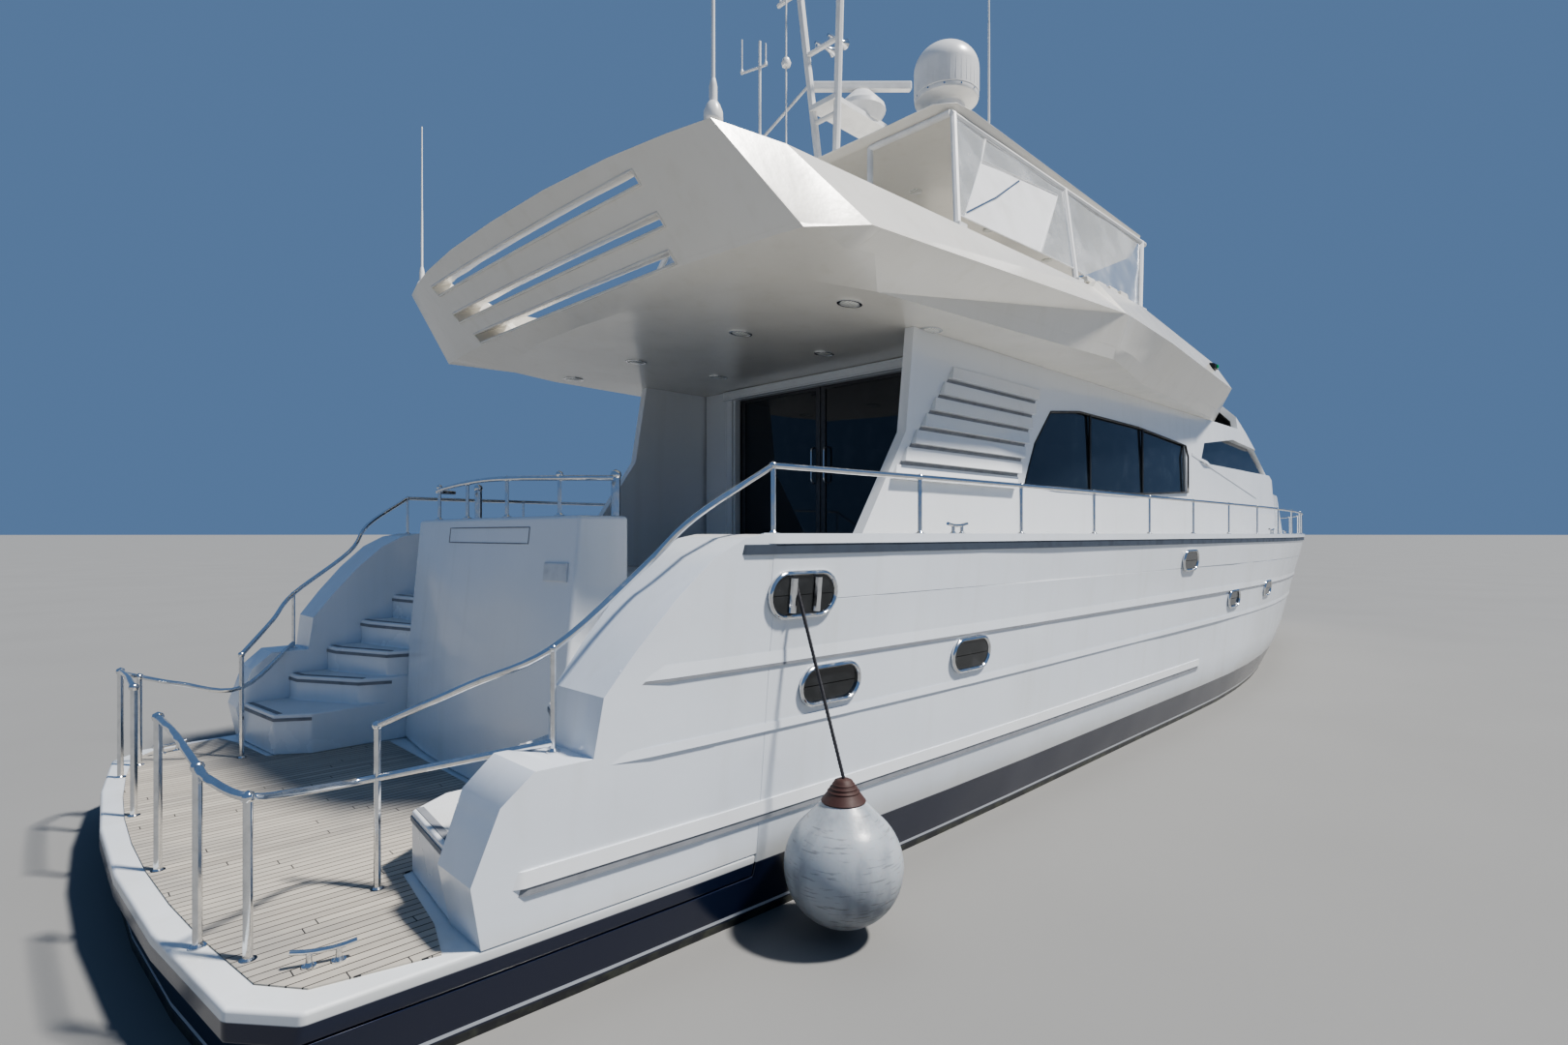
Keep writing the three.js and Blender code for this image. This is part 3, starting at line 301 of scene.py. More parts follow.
def lamp_glass(name, tone):
    finish = Finish(name, Coat_Weight=0.5)
    flutes = (finish.x * 260.0).sine() * 0.5 + 0.5
    return finish.made(finish.mix(flutes, tone, shade(tone, 0.6)), flutes * 0.1 + 0.12, flutes, 0.0006)


finishes = {
    "hull_gelcoat": hull_gelcoat(),
    "gelcoat": gelcoat("gelcoat", WHITE),
    "upper_gelcoat": gelcoat("upper_gelcoat", CREAM, 0.6),
    "deck_gelcoat": deck_gelcoat("deck_gelcoat", WHITE),
    "deck_teak": teak(),
    # Smudged by hands, brushed along its length
    "stainless": worn("stainless", (0.78, 0.79, 0.80), 0.86, (18.0, 4.0, 0.35, 0.75), (0.16, 0.10),
                      (300.0, 2.0, (0.05, 1.0, 1.0)), 0.00008, Metallic=1.0),
    "door_frame": satin_metal("door_frame", (0.10, 0.10, 0.105), 0.6),
    # Dark glass with a film of dust
    "tinted_glass": worn("tinted_glass", (0.012, 0.017, 0.024), (0.3, 0.32, 0.34), (6.0, 6.0, 0.45, 0.8),
                         (0.05, 0.02), (0.8, 1.0), 0.004, 0.06, (0.06, 0.86),
                         IOR=1.5, Coat_Weight=0.6, Coat_Roughness=0.01),
    "bronze": worn("propeller_bronze", (0.50, 0.33, 0.15), (0.16, 0.22, 0.18), (11.0, 6.0, 0.45, 0.62), (0.4, 0.28),
                   lambda finish, wear: wear + finish.noise(80.0, 3.0) * 0.2, 0.001, Metallic=0.9),
    # Marine vinyl with a fine pebbled grain, slightly soiled
    "upholstery": worn("upholstery", (0.78, 0.76, 0.70), 0.8, (4.0, 5.0, 0.42, 0.75), (0.12, 0.42),
                       lambda finish, wear: finish.cells(420.0, "DISTANCE_TO_EDGE").rise(0.0, 0.12), 0.0004, 0.5,
                       Sheen_Weight=0.1),
    "moulded_trim": plastic("moulded_trim", (0.68, 0.69, 0.70), 0.35),
    "black_trim": plastic("black_trim", (0.015, 0.016, 0.018), 0.4),
    # Near black, painted as the shadow gap under the cap moulding
    "cap_gap_shadow_dark": plastic("cap_gap_shadow_dark", (0.06, 0.075, 0.1), 0.45),
    "fender_skin": fender_skin(),
    "rope": rope(),
    "mast_paint": paint("mast_paint", (0.80, 0.80, 0.79)),
    "lamp_white": lamp_glass("lamp_white", (0.85, 0.85, 0.8)),
    "lamp_red": lamp_glass("lamp_red", (0.5, 0.02, 0.02)),
    "lamp_green": lamp_glass("lamp_green", (0.02, 0.4, 0.12)),
    # Clear sheet with faint ripples and a haze of salt
    "clear_vinyl": worn("clear_vinyl", (0.55, 0.6, 0.66), (0.8, 0.82, 0.84), (3.0, 5.0, 0.35, 0.8), (0.15, 0.08),
                        (2.2, 2.0), 0.006, 1.0, (0.2, 0.24), Coat_Weight=0.2, Coat_Roughness=0.1),
    # White acrylic canvas with a fine weave
    "canvas": worn("canvas", (0.80, 0.81, 0.82), (0.62, 0.62, 0.60), (2.2, 5.0, 0.4, 0.75), (0.1, 0.75),
                   lambda finish, wear: (finish.x * 2600.0).sine() * (finish.z * 2600.0).sine(), 0.0002, 0.6,
                   Sheen_Weight=0.15),
    "fender_cap": plastic("fender_cap", (0.055, 0.022, 0.018), 0.55),
    # Dark grey painted as shadow: the shadow lines under the rub strake, the knuckle and the stair nosings, and the
    # shade behind the louvres; also the real grip strips on the treads and the seam in the transom
    "shadow_and_seam_trim": plastic("shadow_and_seam_trim", (0.26, 0.27, 0.29), 0.6),
    "screen_glass": worn("screen_glass", (0.008, 0.01, 0.012), (0.03, 0.032, 0.036), (9.0, 4.0, 0.4, 0.8),
                         (0.2, 0.05), lambda finish, wear: wear, 0.0002, Coat_Weight=0.6, Coat_Roughness=0.02),
    "zinc": satin_metal("zinc", (0.42, 0.43, 0.44), 0.8),
}


# Modelling

def rest():
    """Leaves edit mode with nothing selected."""
    if bpy.context.object and bpy.context.object.mode != "OBJECT":
        bpy.ops.object.mode_set(mode="OBJECT")
    bpy.ops.object.select_all(action="DESELECT")


def take(*pieces):
    rest()
    for piece in pieces:
        piece.select_set(True)
    bpy.context.view_layer.objects.active = pieces[0]
    return pieces[0]


@contextmanager
def shaping(piece, mode="FACE"):
    """Edit mode on one piece, with nothing of it selected."""
    take(piece)
    bpy.ops.object.mode_set(mode="EDIT")
    bpy.ops.mesh.select_mode(type=mode)
    bpy.ops.mesh.select_all(action="DESELECT")
    yield piece
    bpy.ops.object.mode_set(mode="OBJECT")


def pick(piece, test, kind="faces"):
    """Selects the faces, or edges, that pass a test on their middle and their normal, or direction."""
    bpy.ops.mesh.select_all(action="DESELECT")
    mesh = bmesh.from_edit_mesh(piece.data)
    for part in getattr(mesh, kind):
        if kind == "faces":
            passed = test(part.calc_center_median(), part.normal)
        else:
            start, end = [corner.co for corner in part.verts]
            passed = test((start + end) / 2, end - start)
        if passed:
            part.select_set(True)
    mesh.select_flush(True)
    bmesh.update_edit_mesh(piece.data)


def pick_facing(piece, *way):
    pick(piece, lambda middle, normal: normal.dot(Vector(way)) > 0.9)


def everything():
    bpy.ops.mesh.select_all(action="SELECT")


def outward():
    """Selects the whole mesh and turns its faces outwards."""
    everything()
    bpy.ops.mesh.normals_make_consistent(inside=False)


def pull(way):
    bpy.ops.mesh.extrude_region_move(TRANSFORM_OT_translate={"value": way})


def inset(border, depth=0.0):
    bpy.ops.mesh.inset(thickness=border, depth=depth)


def shift(way):
    bpy.ops.transform.translate(value=way)


def stretch(factors):
    bpy.ops.transform.resize(value=factors)


def lift(height):
    return Vector((0, 0, height))


def rays(count):
    """Level unit vectors all round."""
    return [Vector((cos(2 * pi * i / count), sin(2 * pi * i / count), 0)) for i in range(count)]


def settle(piece):
    """Puts the piece's place, turn and size into its mesh."""
    take(piece)
    bpy.ops.object.transform_apply(location=True, rotation=True, scale=True)
    return piece


def modify(piece, kind, **settings):
    take(piece)
    modifier = piece.modifiers.new(kind.lower(), kind)
    for key, value in settings.items():
        setattr(modifier, key, value)
    bpy.ops.object.modifier_apply(modifier=modifier.name)
    return piece


def ease(piece, width, segments=2, angle=30):
    return modify(piece, "BEVEL", width=width, segments=segments, limit_method="ANGLE",
                  angle_limit=radians(angle), use_clamp_overlap=True)


def smooth(piece, angle=35):
    take(piece)
    bpy.ops.object.shade_smooth_by_angle(angle=radians(angle))
    return modify(piece, "WEIGHTED_NORMAL", keep_sharp=True, weight=60)


def done(piece, name, finish, body="yacht", angle=35, replaces=()):
    """Names, finishes and mounts a piece whose shape is ready."""
    settle(piece)
    smooth(piece, angle)
    piece.name = piece.data.name = name
    piece.data.materials.clear()
    piece.data.materials.append(finishes[finish])
    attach(piece, body)
    if replaces:
        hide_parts(*replaces)
    return piece


def block(low, high):
    """A cuboid between two corners, to be shaped further."""
    rest()
    low, high = Vector(low), Vector(high)
    bpy.ops.mesh.primitive_cube_add(size=1, location=(low + high) / 2)
    piece = bpy.context.object
    piece.scale = high - low
    return settle(piece)


def disc(centre, radius, direction=(0, 0, 1), sides=32, depth=0.0):
    """A filled circle, or a drum where it has a depth, that faces the given way."""
    rest()
    turn = Vector(direction).to_track_quat("Z", "Y").to_euler()
    if depth:
        middle = Vector(centre) + Vector(direction).normalized() * depth / 2
        bpy.ops.mesh.primitive_cylinder_add(vertices=sides, radius=radius, depth=depth,
                                            location=middle, rotation=turn)
    else:
        bpy.ops.mesh.primitive_circle_add(vertices=sides, radius=radius, fill_type="NGON",
                                          location=centre, rotation=turn)
    return settle(bpy.context.object)


def joined(*pieces):
    take(*pieces)
    bpy.ops.object.join()
    return bpy.context.object


def line_through(points, closed=False):
    """One vertex, extruded from point to point."""
    rest()
    points = [Vector(point) for point in points]
    bpy.ops.mesh.primitive_plane_add(size=0.01, location=points[0])
    piece = settle(bpy.context.object)
    with shaping(piece, "VERT"):
        everything()
        bpy.ops.mesh.merge(type="CENTER")
        for start, end in zip(points, points[1:]):
            pull(end - start)
        if closed:
            everything()
            bpy.ops.mesh.edge_face_add()
    return piece


def converted(piece, target):
    take(piece)
    bpy.ops.object.convert(target=target)
    return bpy.context.object


def tube(points, radius, sides=12, closed=False):
    """A round bar that follows the points, with its ends closed."""
    piece = line_through(points if not closed else [*points, points[0]])
    if closed:
        modify(piece, "WELD", merge_threshold=1e-5)
    piece = converted(piece, "CURVE")
    piece.data.bevel_depth = radius
    piece.data.bevel_resolution = max(0, sides // 4 - 1)
    piece.data.use_fill_caps = True
    return converted(piece, "MESH")


def moulding(points, outline):
    """A strip whose section is the outline (out, up), swept along the points with Z kept up."""
    section = line_through([(out, up, 0.0) for out, up in [*outline, outline[0]]])
    modify(section, "WELD", merge_threshold=1e-5)
    section = converted(section, "CURVE")
    path = converted(line_through(points), "CURVE")
    path.data.twist_mode = "Z_UP"
    path.data.bevel_mode = "OBJECT"
    path.data.bevel_object = section
    path.data.use_fill_caps = True
    piece = converted(path, "MESH")
    bpy.data.objects.remove(section)
    with shaping(piece):
        outward()
    return piece


def slab(points, way, border, depth=0.0, crown=None):
    """A plate over a closed outline, drawn out one way, its face inset and perhaps moved on."""
    plate = line_through(points, closed=True)
    with shaping(plate):
        outward()
        pull(way)
        inset(border, depth)
        if crown:
            shift(crown)
        outward()
    return plate


def round_section(radius, height, thickness, steps):
    """The profile of a turned ring."""
    angles = [2 * pi * i / steps for i in range(steps + 1)]
    return [(radius + thickness * cos(angle), height + thickness * sin(angle)) for angle in angles]


def turned(profile, centre, axis=(0, 0, 1), steps=48):
    """A form turned round an axis from its profile (radius, height)."""
    piece = line_through([(radius, 0.0, height) for radius, height in profile])
    with shaping(piece, "VERT"):
        everything()
        bpy.ops.mesh.spin(steps=steps, angle=2 * pi, center=(0, 0, 0), axis=(0, 0, 1))
        everything()
        bpy.ops.mesh.remove_doubles(threshold=1e-5)
        bpy.ops.mesh.normals_make_consistent(inside=False)
    piece.rotation_mode = "QUATERNION"
    piece.rotation_quaternion = Vector(axis).to_track_quat("Z", "Y")
    piece.location = centre
    return settle(piece)


def curved(points, steps=6):
    """A smooth line through a few points."""
    points = [Vector(point) for point in points]
    ends = [points[0] * 2 - points[1], *points, points[-1] * 2 - points[-2]]
    line = []
    for a, b, c, d in zip(ends, ends[1:], ends[2:], ends[3:]):
        for step in range(steps):
            t = step / steps
            line.append(0.5 * (2 * b + (c - a) * t + (2 * a - 5 * b + 4 * c - d) * t * t
                               + (3 * b - a - 3 * c + d) * t ** 3))
    return [*line, points[-1]]


def skin_of(*nodes):
    """The surface of these CAD nodes, to find points on."""
    corners, faces = [], []
    for node in nodes:
        mesh = frame["nodes"][node].data
        first = len(corners)
        corners += [vertex.co.copy() for vertex in mesh.vertices]
        faces += [[first + index for index in face.vertices] for face in mesh.polygons]
    return BVHTree.FromPolygons(corners, faces)


topsides = skin_of("hull", "bulwark_port", "bulwark_starboard")
house_skin = skin_of("house_side_port", "house_side_starboard", "pilothouse_front")
deck_skin = skin_of("coaming_side_port", "coaming_side_starboard", "coaming_aft", "flybridge_brow", "upper_deck")


def beside(skin, x, z, side):
    """The point and outward normal where a level ray from abeam meets the skin."""
    place, normal, *_ = skin.ray_cast(Vector((x, side * 8, z)), Vector((0, -side, 0)))
    return place, normal


def below(skin, x, y, top=8.0):
    place, normal, *_ = skin.ray_cast(Vector((x, y, top)), lift(-1))
    return place, normal


def foot_of(node):
    """The middle of the bottom of a node's box."""
    low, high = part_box(node)
    return Vector(((low.x + high.x) / 2, (low.y + high.y) / 2, low.z))


# The solids that show as they are get eased edges and smooth shading

def dressed(node, finish, edge, angle=35):
    take(frame["nodes"][node])
    bpy.ops.object.duplicate()
    piece = bpy.context.object
    for key in list(piece.keys()):
        del piece[key]
    piece.parent = None
    with shaping(piece, "VERT"):
        everything()
        bpy.ops.mesh.remove_doubles(threshold=1e-4)
        bpy.ops.mesh.dissolve_limited(angle_limit=radians(0.6))
    ease(piece, edge)
    return done(piece, f"{node}_skin", finish, body_of[node], angle, [node])


# Columns: node, or a pair's name without its side; finish; width of the eased edges; angle that stays sharp
solid_skins = [
    ("hull", "hull_gelcoat", 0.008), ("bulwark", "hull_gelcoat", 0.03), ("stern_stairs", "deck_gelcoat", 0.018),
    ("transom", "gelcoat", 0.03), ("swim_platform", "hull_gelcoat", 0.02), ("house_side", "gelcoat", 0.012),
    ("pilothouse_front", "gelcoat", 0.012), ("aft_bulkhead", "gelcoat", 0.01),
    ("foredeck_trunk", "deck_gelcoat", 0.04), ("foredeck_hatch", "deck_gelcoat", 0.015),
    ("upper_deck", "upper_gelcoat", 0.01, 16), ("coaming_aft", "upper_gelcoat", 0.015, 16),
    ("coaming_side", "upper_gelcoat", 0.015, 16), ("flybridge_brow", "upper_gelcoat", 0.02, 16),
    ("hardtop", "upper_gelcoat", 0.02), ("mast", "mast_paint", 0.006), ("hardtop_frame", "mast_paint", 0.004),
    ("bow_roller", "stainless", 0.008), ("anchor", "stainless", 0.006), ("door_leaf", "door_frame", 0.005),
    ("propeller", "bronze", 0.003), ("rudder", "bronze", 0.006), ("shaft_strut", "bronze", 0.004),
    ("fly_console", "moulded_trim", 0.03), ("inner_helm", "moulded_trim", 0.03),
]


def dress_solids():
    for name, finish, edge, *angle in solid_skins:
        for node in [name] if name in frame["nodes"] else [f"{name}_{side}" for side in SIDES]:
            dressed(node, finish, edge, *angle)
    for node in ("saloon_glass_port", "saloon_glass_starboard", "pilothouse_glass", "door_glass_port",
                 "door_glass_starboard"):
        for slot in frame["nodes"][node].material_slots:
            slot.material = finishes["tinted_glass"]


# Hull sides

STRIP_STEPS = 56
RUN_IN_DEPTH = 0.018


def along_hull(start, end, run_in, height, side):
    """Points on the topsides at a height that may change with x, sunk into the skin at both ends."""
    xs = [start, start + run_in / 2, *[start + run_in + (end - start - 2 * run_in) * i / STRIP_STEPS
                                       for i in range(STRIP_STEPS + 1)], end - run_in / 2, end]
    points = []
    for x in xs:
        place, normal = beside(topsides, x, height(x), side)
        if place:
            from_end = min(x - start, end - x, run_in) / run_in
            points.append(place - normal * RUN_IN_DEPTH * (1 - from_end))
    return points


# Columns: name, finish, x of its ends, length that runs out of the skin, height, section (out, up)
hull_strips = [
    # A rail under the cap moulding, painted near black as the shadow gap beneath the cap
    ("cap_shadow_rail", "cap_gap_shadow_dark", -9.72, 11.75, 0.04, lambda x: 2.262,
     [(-0.01, -0.028), (0.014, -0.03), (0.03, -0.012), (0.03, 0.012), (0.014, 0.03), (-0.01, 0.028)]),
    ("cap_moulding", "hull_gelcoat", -9.55, 11.75, 0.1, lambda x: 2.325,
     [(-0.01, -0.03), (0.02, -0.026), (0.028, 0.0), (0.022, 0.026), (-0.01, 0.03)]),
    ("rub_strake", "gelcoat", -10.95, -1.9, 0.06, lambda x: 0.725,
     [(-0.012, -0.035), (0.04, -0.032), (0.066, -0.012), (0.068, 0.012), (0.05, 0.03), (-0.012, 0.045)]),
    # Dark strip painted as the shadow under the rub strake
    ("strake_shadow", "shadow_and_seam_trim", -10.93, -1.92, 0.06, lambda x: 0.68,
     [(-0.01, -0.03), (0.016, -0.026), (0.042, 0.0), (0.044, 0.012), (-0.01, 0.012)]),
    ("knuckle_moulding", "hull_gelcoat", -10.43, 11.3, 0.3, lambda x: 1.595,
     [(-0.01, -0.004), (0.014, -0.006), (0.017, 0.0), (0.012, 0.014), (-0.01, 0.07)]),
    ("knuckle_shadow", "shadow_and_seam_trim", -10.43, 11.3, 0.3, lambda x: 1.583,
     [(-0.01, -0.007), (0.004, -0.006), (0.006, 0.008), (-0.01, 0.008)]),
    ("crease_moulding", "hull_gelcoat", -10.62, 10.6, 0.4, lambda x: 1.2 + 0.0006 * (x + 10.62) ** 1.5,
     [(-0.01, -0.01), (0.009, -0.008), (0.011, 0.004), (-0.01, 0.04)]),
]


def add_hull_strips():
    for side_name, side in SIDES.items():
        for name, finish, start, end, run_in, height, outline in hull_strips:
            points = along_hull(start, end, run_in, height, side)
            section = [(out * side, up) for out, up in outline]
            strip = moulding(points, section)
            done(strip, f"{name}_{side_name}", finish, angle=40)


def oval_port(name, x, z, side, half_length, half_height, bars):
    """A rimmed oval in the hull's side, its middle set back, with upright bars where it is a hawse."""
    place, normal = beside(topsides, x, z, side)
    across = Vector((-normal.y * side, normal.x * side, 0)).normalized()
    up = normal.cross(across) * side
    turn = Matrix((across, up * side, normal)).transposed()
    ring = []
    for quarter, way in enumerate((1, -1, -1, 1)):
        for step in range(7):
            angle = pi / 2 * (quarter + step / 6)
            ring.append(Vector((way * (half_length - half_height) + half_height * cos(angle),
                                half_height * sin(angle), 0)))
    outer = [place + turn @ point + normal * 0.012 for point in ring]
    done(tube(outer, 0.017, 8, closed=True), f"{name}_rim", "stainless", angle=60)
    pane = slab([place + turn @ (point * 0.97) - normal * 0.004 for point in ring], normal * 0.014, 0.02, -0.006)
    done(pane, f"{name}_pane", "screen_glass", angle=30)
    for bar in range(bars):
        middle = place + across * (bar - (bars - 1) / 2) * half_length * 0.75
        reach = up * side * half_height * 0.8
        foot, head = [middle + end + normal * 0.022 for end in (-reach, reach)]
        roller = tube([foot, foot.lerp(head, 0.08), foot.lerp(head, 0.92), head], 0.024, 12)
        done(roller, f"{name}_roller_{bar + 1}", "stainless", angle=40)


# Columns: name, x, height, half length, half height, bars
hull_ports = [
    ("hawse", -9.22, 1.99, 0.27, 0.13, 2),
    ("engine_vent", -8.92, 1.41, 0.26, 0.115, 0),
    ("aft_port", -7.35, 1.43, 0.25, 0.12, 0),
    ("cabin_port", -2.65, 2.04, 0.24, 0.115, 0),
    ("cabin_port_mid", -0.7, 1.47, 0.24, 0.11, 0),
    ("cabin_port_fore", 1.2, 1.52, 0.24, 0.11, 0),
]


def add_hull_ports():
    for side_name, side in SIDES.items():
        for name, x, z, half_length, half_height, bars in hull_ports:
            oval_port(f"{name}_{side_name}", x, z, side, half_length, half_height, bars)


# Rails

def flange(place, radius=0.036):
    """The round foot of a post, screwed to what carries it."""
    foot = disc(place, radius, sides=20, depth=0.008)
    with shaping(foot):
        pick_facing(foot, 0, 0, 1)
        inset(radius * 0.3)
        pull((0, 0, 0.014))
        stretch((0.62, 0.62, 1))
    return foot


def rail_knob(place, radius=0.026):
    """The ball fitting where a post meets its rail."""
    outline = [(0, -1), (0.8, -0.6), (1, 0), (0.8, 0.6), (0, 1)]
    return turned([(radius * out, radius * up) for out, up in outline], place, steps=12)


def post(foot, head, radius=0.015):
    return [tube([foot, head], radius, 12), flange(foot)]


RAIL_RADIUS = 0.019
POST_PITCH = 1.39
FIRST_POST_X = -9.45
BOW_POST_X = 11.7


def cap_place(x, z, side):
    place, _ = beside(topsides, x, CAP_Z - 0.005, side)
    return Vector((x, place.y - side * min(0.045, abs(place.y) - 0.04), z))


def add_side_rails():
    for side_name, side in SIDES.items():
        def at(x, y, z):
            return Vector((x, side * y, z))

        stations = [FIRST_POST_X + POST_PITCH * i for i in range(16)] + [BOW_POST_X]
        heads = [cap_place(x, RAIL_Z, side) for x in stations]
        quarter = [at(-11.21, 1.72, 1.33), at(-10.9, 2.15, 1.56), at(-10.64, 2.56, 1.77),
                   at(-10.13, 2.62, 2.17), at(-9.9, 2.79, 2.45), heads[0]]
        parts = [tube(curved(quarter), RAIL_RADIUS), tube(curved(heads, 3), RAIL_RADIUS)]
        for head in heads:
            parts += post(Vector((head.x, head.y, CAP_Z)), head)
            parts.append(rail_knob(head))
        platform_rail = [at(-10.64, 2.56, 1.29), at(-11.21, 1.72, 1.05), at(-11.6, 1.9, 1.11), at(-11.85, 2.06, 1.18),
                         at(-11.96, 1.9, 1.24), at(-11.99, 1.76, 1.28), at(-12.0, 1.15, 1.32), at(-12.01, 0.6, 1.32)]
        parts.append(tube(curved(platform_rail), RAIL_RADIUS))
        for foot, head, radius in [
            (at(-10.64, 2.56, 1.24), at(-10.64, 2.56, 1.77), 0.015),
            (at(-11.21, 1.72, PLATFORM_Z), at(-11.21, 1.72, 1.33), 0.018),
            (at(-12.01, 0.6, PLATFORM_Z), at(-12.01, 0.6, 1.32), 0.02),
            (at(-11.99, 1.76, PLATFORM_Z), at(-11.99, 1.76, 1.28), 0.02),
            (at(-11.85, 2.06, PLATFORM_Z), at(-11.85, 2.06, 1.18), 0.02),
        ]:
            parts += post(foot, head, radius)
            parts.append(rail_knob(head, radius * 1.5))
        done(joined(*parts), f"side_rail_{side_name}_bright", "stainless", angle=45,
             replaces=[f"side_rail_{side_name}"])


def add_transom_rail():
    aft_x, rise = -9.8, 0.04
    line = curved([(aft_x + 0.25, -1.4, RAIL_Z), (aft_x, -1.15, RAIL_Z), (aft_x - 0.06, 0, RAIL_Z + rise),
                   (aft_x, 1.15, RAIL_Z), (aft_x + 0.25, 1.4, RAIL_Z)])
    parts = [tube(line, RAIL_RADIUS)]
    for y in (-1.1, -0.37, 0.37, 1.1):
        x = aft_x - 0.06 * (1 - (y / 1.15) ** 2)
        top = Vector((x, y, RAIL_Z + 0.02))
        parts += post(Vector((x, y, TRANSOM_TOP_Z)), top)
        parts.append(rail_knob(top + lift(0.01)))
    done(joined(*parts), "transom_rail_bright", "stainless", angle=45, replaces=["transom_rail"])
    for side_name, side in SIDES.items():
        foot = Vector((-9.4, side * 1.2, DECK_Z + 0.001))
        head = foot + lift(0.84)
        gate_post = joined(tube([foot, head], 0.034, 20), flange(foot, 0.06), rail_knob(head, 0.042))
        done(gate_post, f"stair_post_{side_name}", "stainless", angle=45)


# Stern: planked platform and cleats

def planked(name, outline, z, thickness=0.008):
    """A planked panel over a flat outline, its border a little rounded."""
    panel = slab([(x, y, z) for x, y in outline], (0, 0, thickness), 0.004)
    return done(panel, name, "deck_teak", angle=30)


def add_stern():
    low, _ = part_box("swim_platform")
    aft = [(low.x + 0.12 + 0.2 * s * s, 2.3 * s) for s in (-1, -0.75, -0.5, -0.25, 0, 0.25, 0.5, 0.75, 1)]
    outline = [(-10.14, -1.4), (-10.14, 1.4), (-11.05, 1.62), (-11.14, 2.32), (-11.22, 2.62), (-11.72, 2.5),
               *reversed(aft), (-11.72, -2.5), (-11.22, -2.62), (-11.14, -2.32), (-11.05, -1.62)]
    planked("platform_planks", outline, PLATFORM_Z)
    for side_name, side in SIDES.items():
        cleat(f"platform_cleat_{side_name}", Vector((-11.62, side * 2.34, PLATFORM_Z + 0.008)), (1, side * 0.35, 0))
        for i, x in enumerate((-7.6, 1.2, 9.2)):
            place = cap_place(x, CAP_Z, side)
            cleat(f"cap_cleat_{i + 1}_{side_name}", place, (1, 0, 0))


def cleat(name, place, along, length=0.26):
    """A two-legged mooring cleat whose horns taper upwards a little."""
    along = Vector(along).normalized()
    up = lift(1)
    horn_line = [along * (length / 2 * s) + up * (0.062 + 0.016 * s * s) for s in (-1, -0.6, -0.25, 0.25, 0.6, 1)]
    parts = [tube([place + point for point in horn_line], 0.0125, 12)]
    for s in (-0.22, 0.22):
        leg = place + along * length * s
        parts.append(tube([leg, leg + up * 0.03, leg + up * 0.066], 0.013, 12))
        parts.append(flange(leg, 0.03))
    done(joined(*parts), name, "stainless", angle=50)


# House sides: louvres, window frames, panel lines

def house_y(x, z, side):
    place, _ = beside(house_skin, x, z, side)
    return place.y if place else side * HOUSE_HALF


LOUVRE_BASE_Z = 2.82
LOUVRE_PITCH = 0.163
LOUVRE_HEIGHT = 0.132
LOUVRE_COUNT = 7


def wing_span(z):
    """x of the louvres' aft and forward ends at a height."""
    return -7.27 + (z - 2.84) * 0.93, -5.16 + (z - 2.89) * 0.52


def add_louvres():
    """Slats across the wing, over a dark panel painted as the shade between them."""
    top = LOUVRE_BASE_Z + LOUVRE_PITCH * (LOUVRE_COUNT - 1) + LOUVRE_HEIGHT
    for side_name, side in SIDES.items():
        corners = [(x, z) for z in (LOUVRE_BASE_Z, top) for x in wing_span(z)]
        outline = [corners[0], corners[1], corners[3], corners[2]]
        # The panel's dark colour is painted shade, showing in the gaps between the slats
        recess = slab([(x, house_y(x, z, side) + side * 0.002, z) for x, z in outline], (0, side * 0.004, 0), 0.01)
        done(recess, f"wing_shadow_panel_{side_name}", "shadow_and_seam_trim")
        slats = []
        for i in range(LOUVRE_COUNT):
            z = LOUVRE_BASE_Z + LOUVRE_PITCH * i
            aft, fore = wing_span(z)
            y = side * abs(house_y((aft + fore) / 2, z + 0.05, side))
            slat = block((aft, y - 0.01, z), (fore, y + 0.012, z + LOUVRE_HEIGHT))
            with shaping(slat, "EDGE"):
                pick(slat, lambda middle, direction: middle.z < z + 0.01 and (middle.y - y) * side > 0
                     and abs(direction.x) > 1, "edges")
                shift((0, side * 0.05, 0))
                pick(slat, lambda middle, direction: middle.z > z + 0.1 and abs(direction.x) > 1, "edges")
                shift((0.09, 0, 0))
            ease(slat, 0.006)
            slats.append(slat)
        done(joined(*slats), f"wing_louvres_{side_name}", "gelcoat")


saloon_window = [(-4.97, 2.87), (-4.72, 3.33), (-4.33, 3.72), (-3.6, 3.8), (-1.8, 3.79), (0.04, 3.69), (0.04, 2.98),
                 (-2.0, 2.88)]


def window_trim(name, outline, side, finish, radius, out):
    points = []
    for start, end in zip(outline, [*outline[1:], outline[0]]):
        for step in range(4):
            x = start[0] + (end[0] - start[0]) * step / 4
            z = start[1] + (end[1] - start[1]) * step / 4
            y = house_y(x - 0.02 if x > 0 else x, z + 0.03 if z < 3.3 else z + 0.04, side)
            points.append(Vector((x, y + side * out, z)))
    done(tube(points, radius, 8, closed=True), name, finish, angle=60)


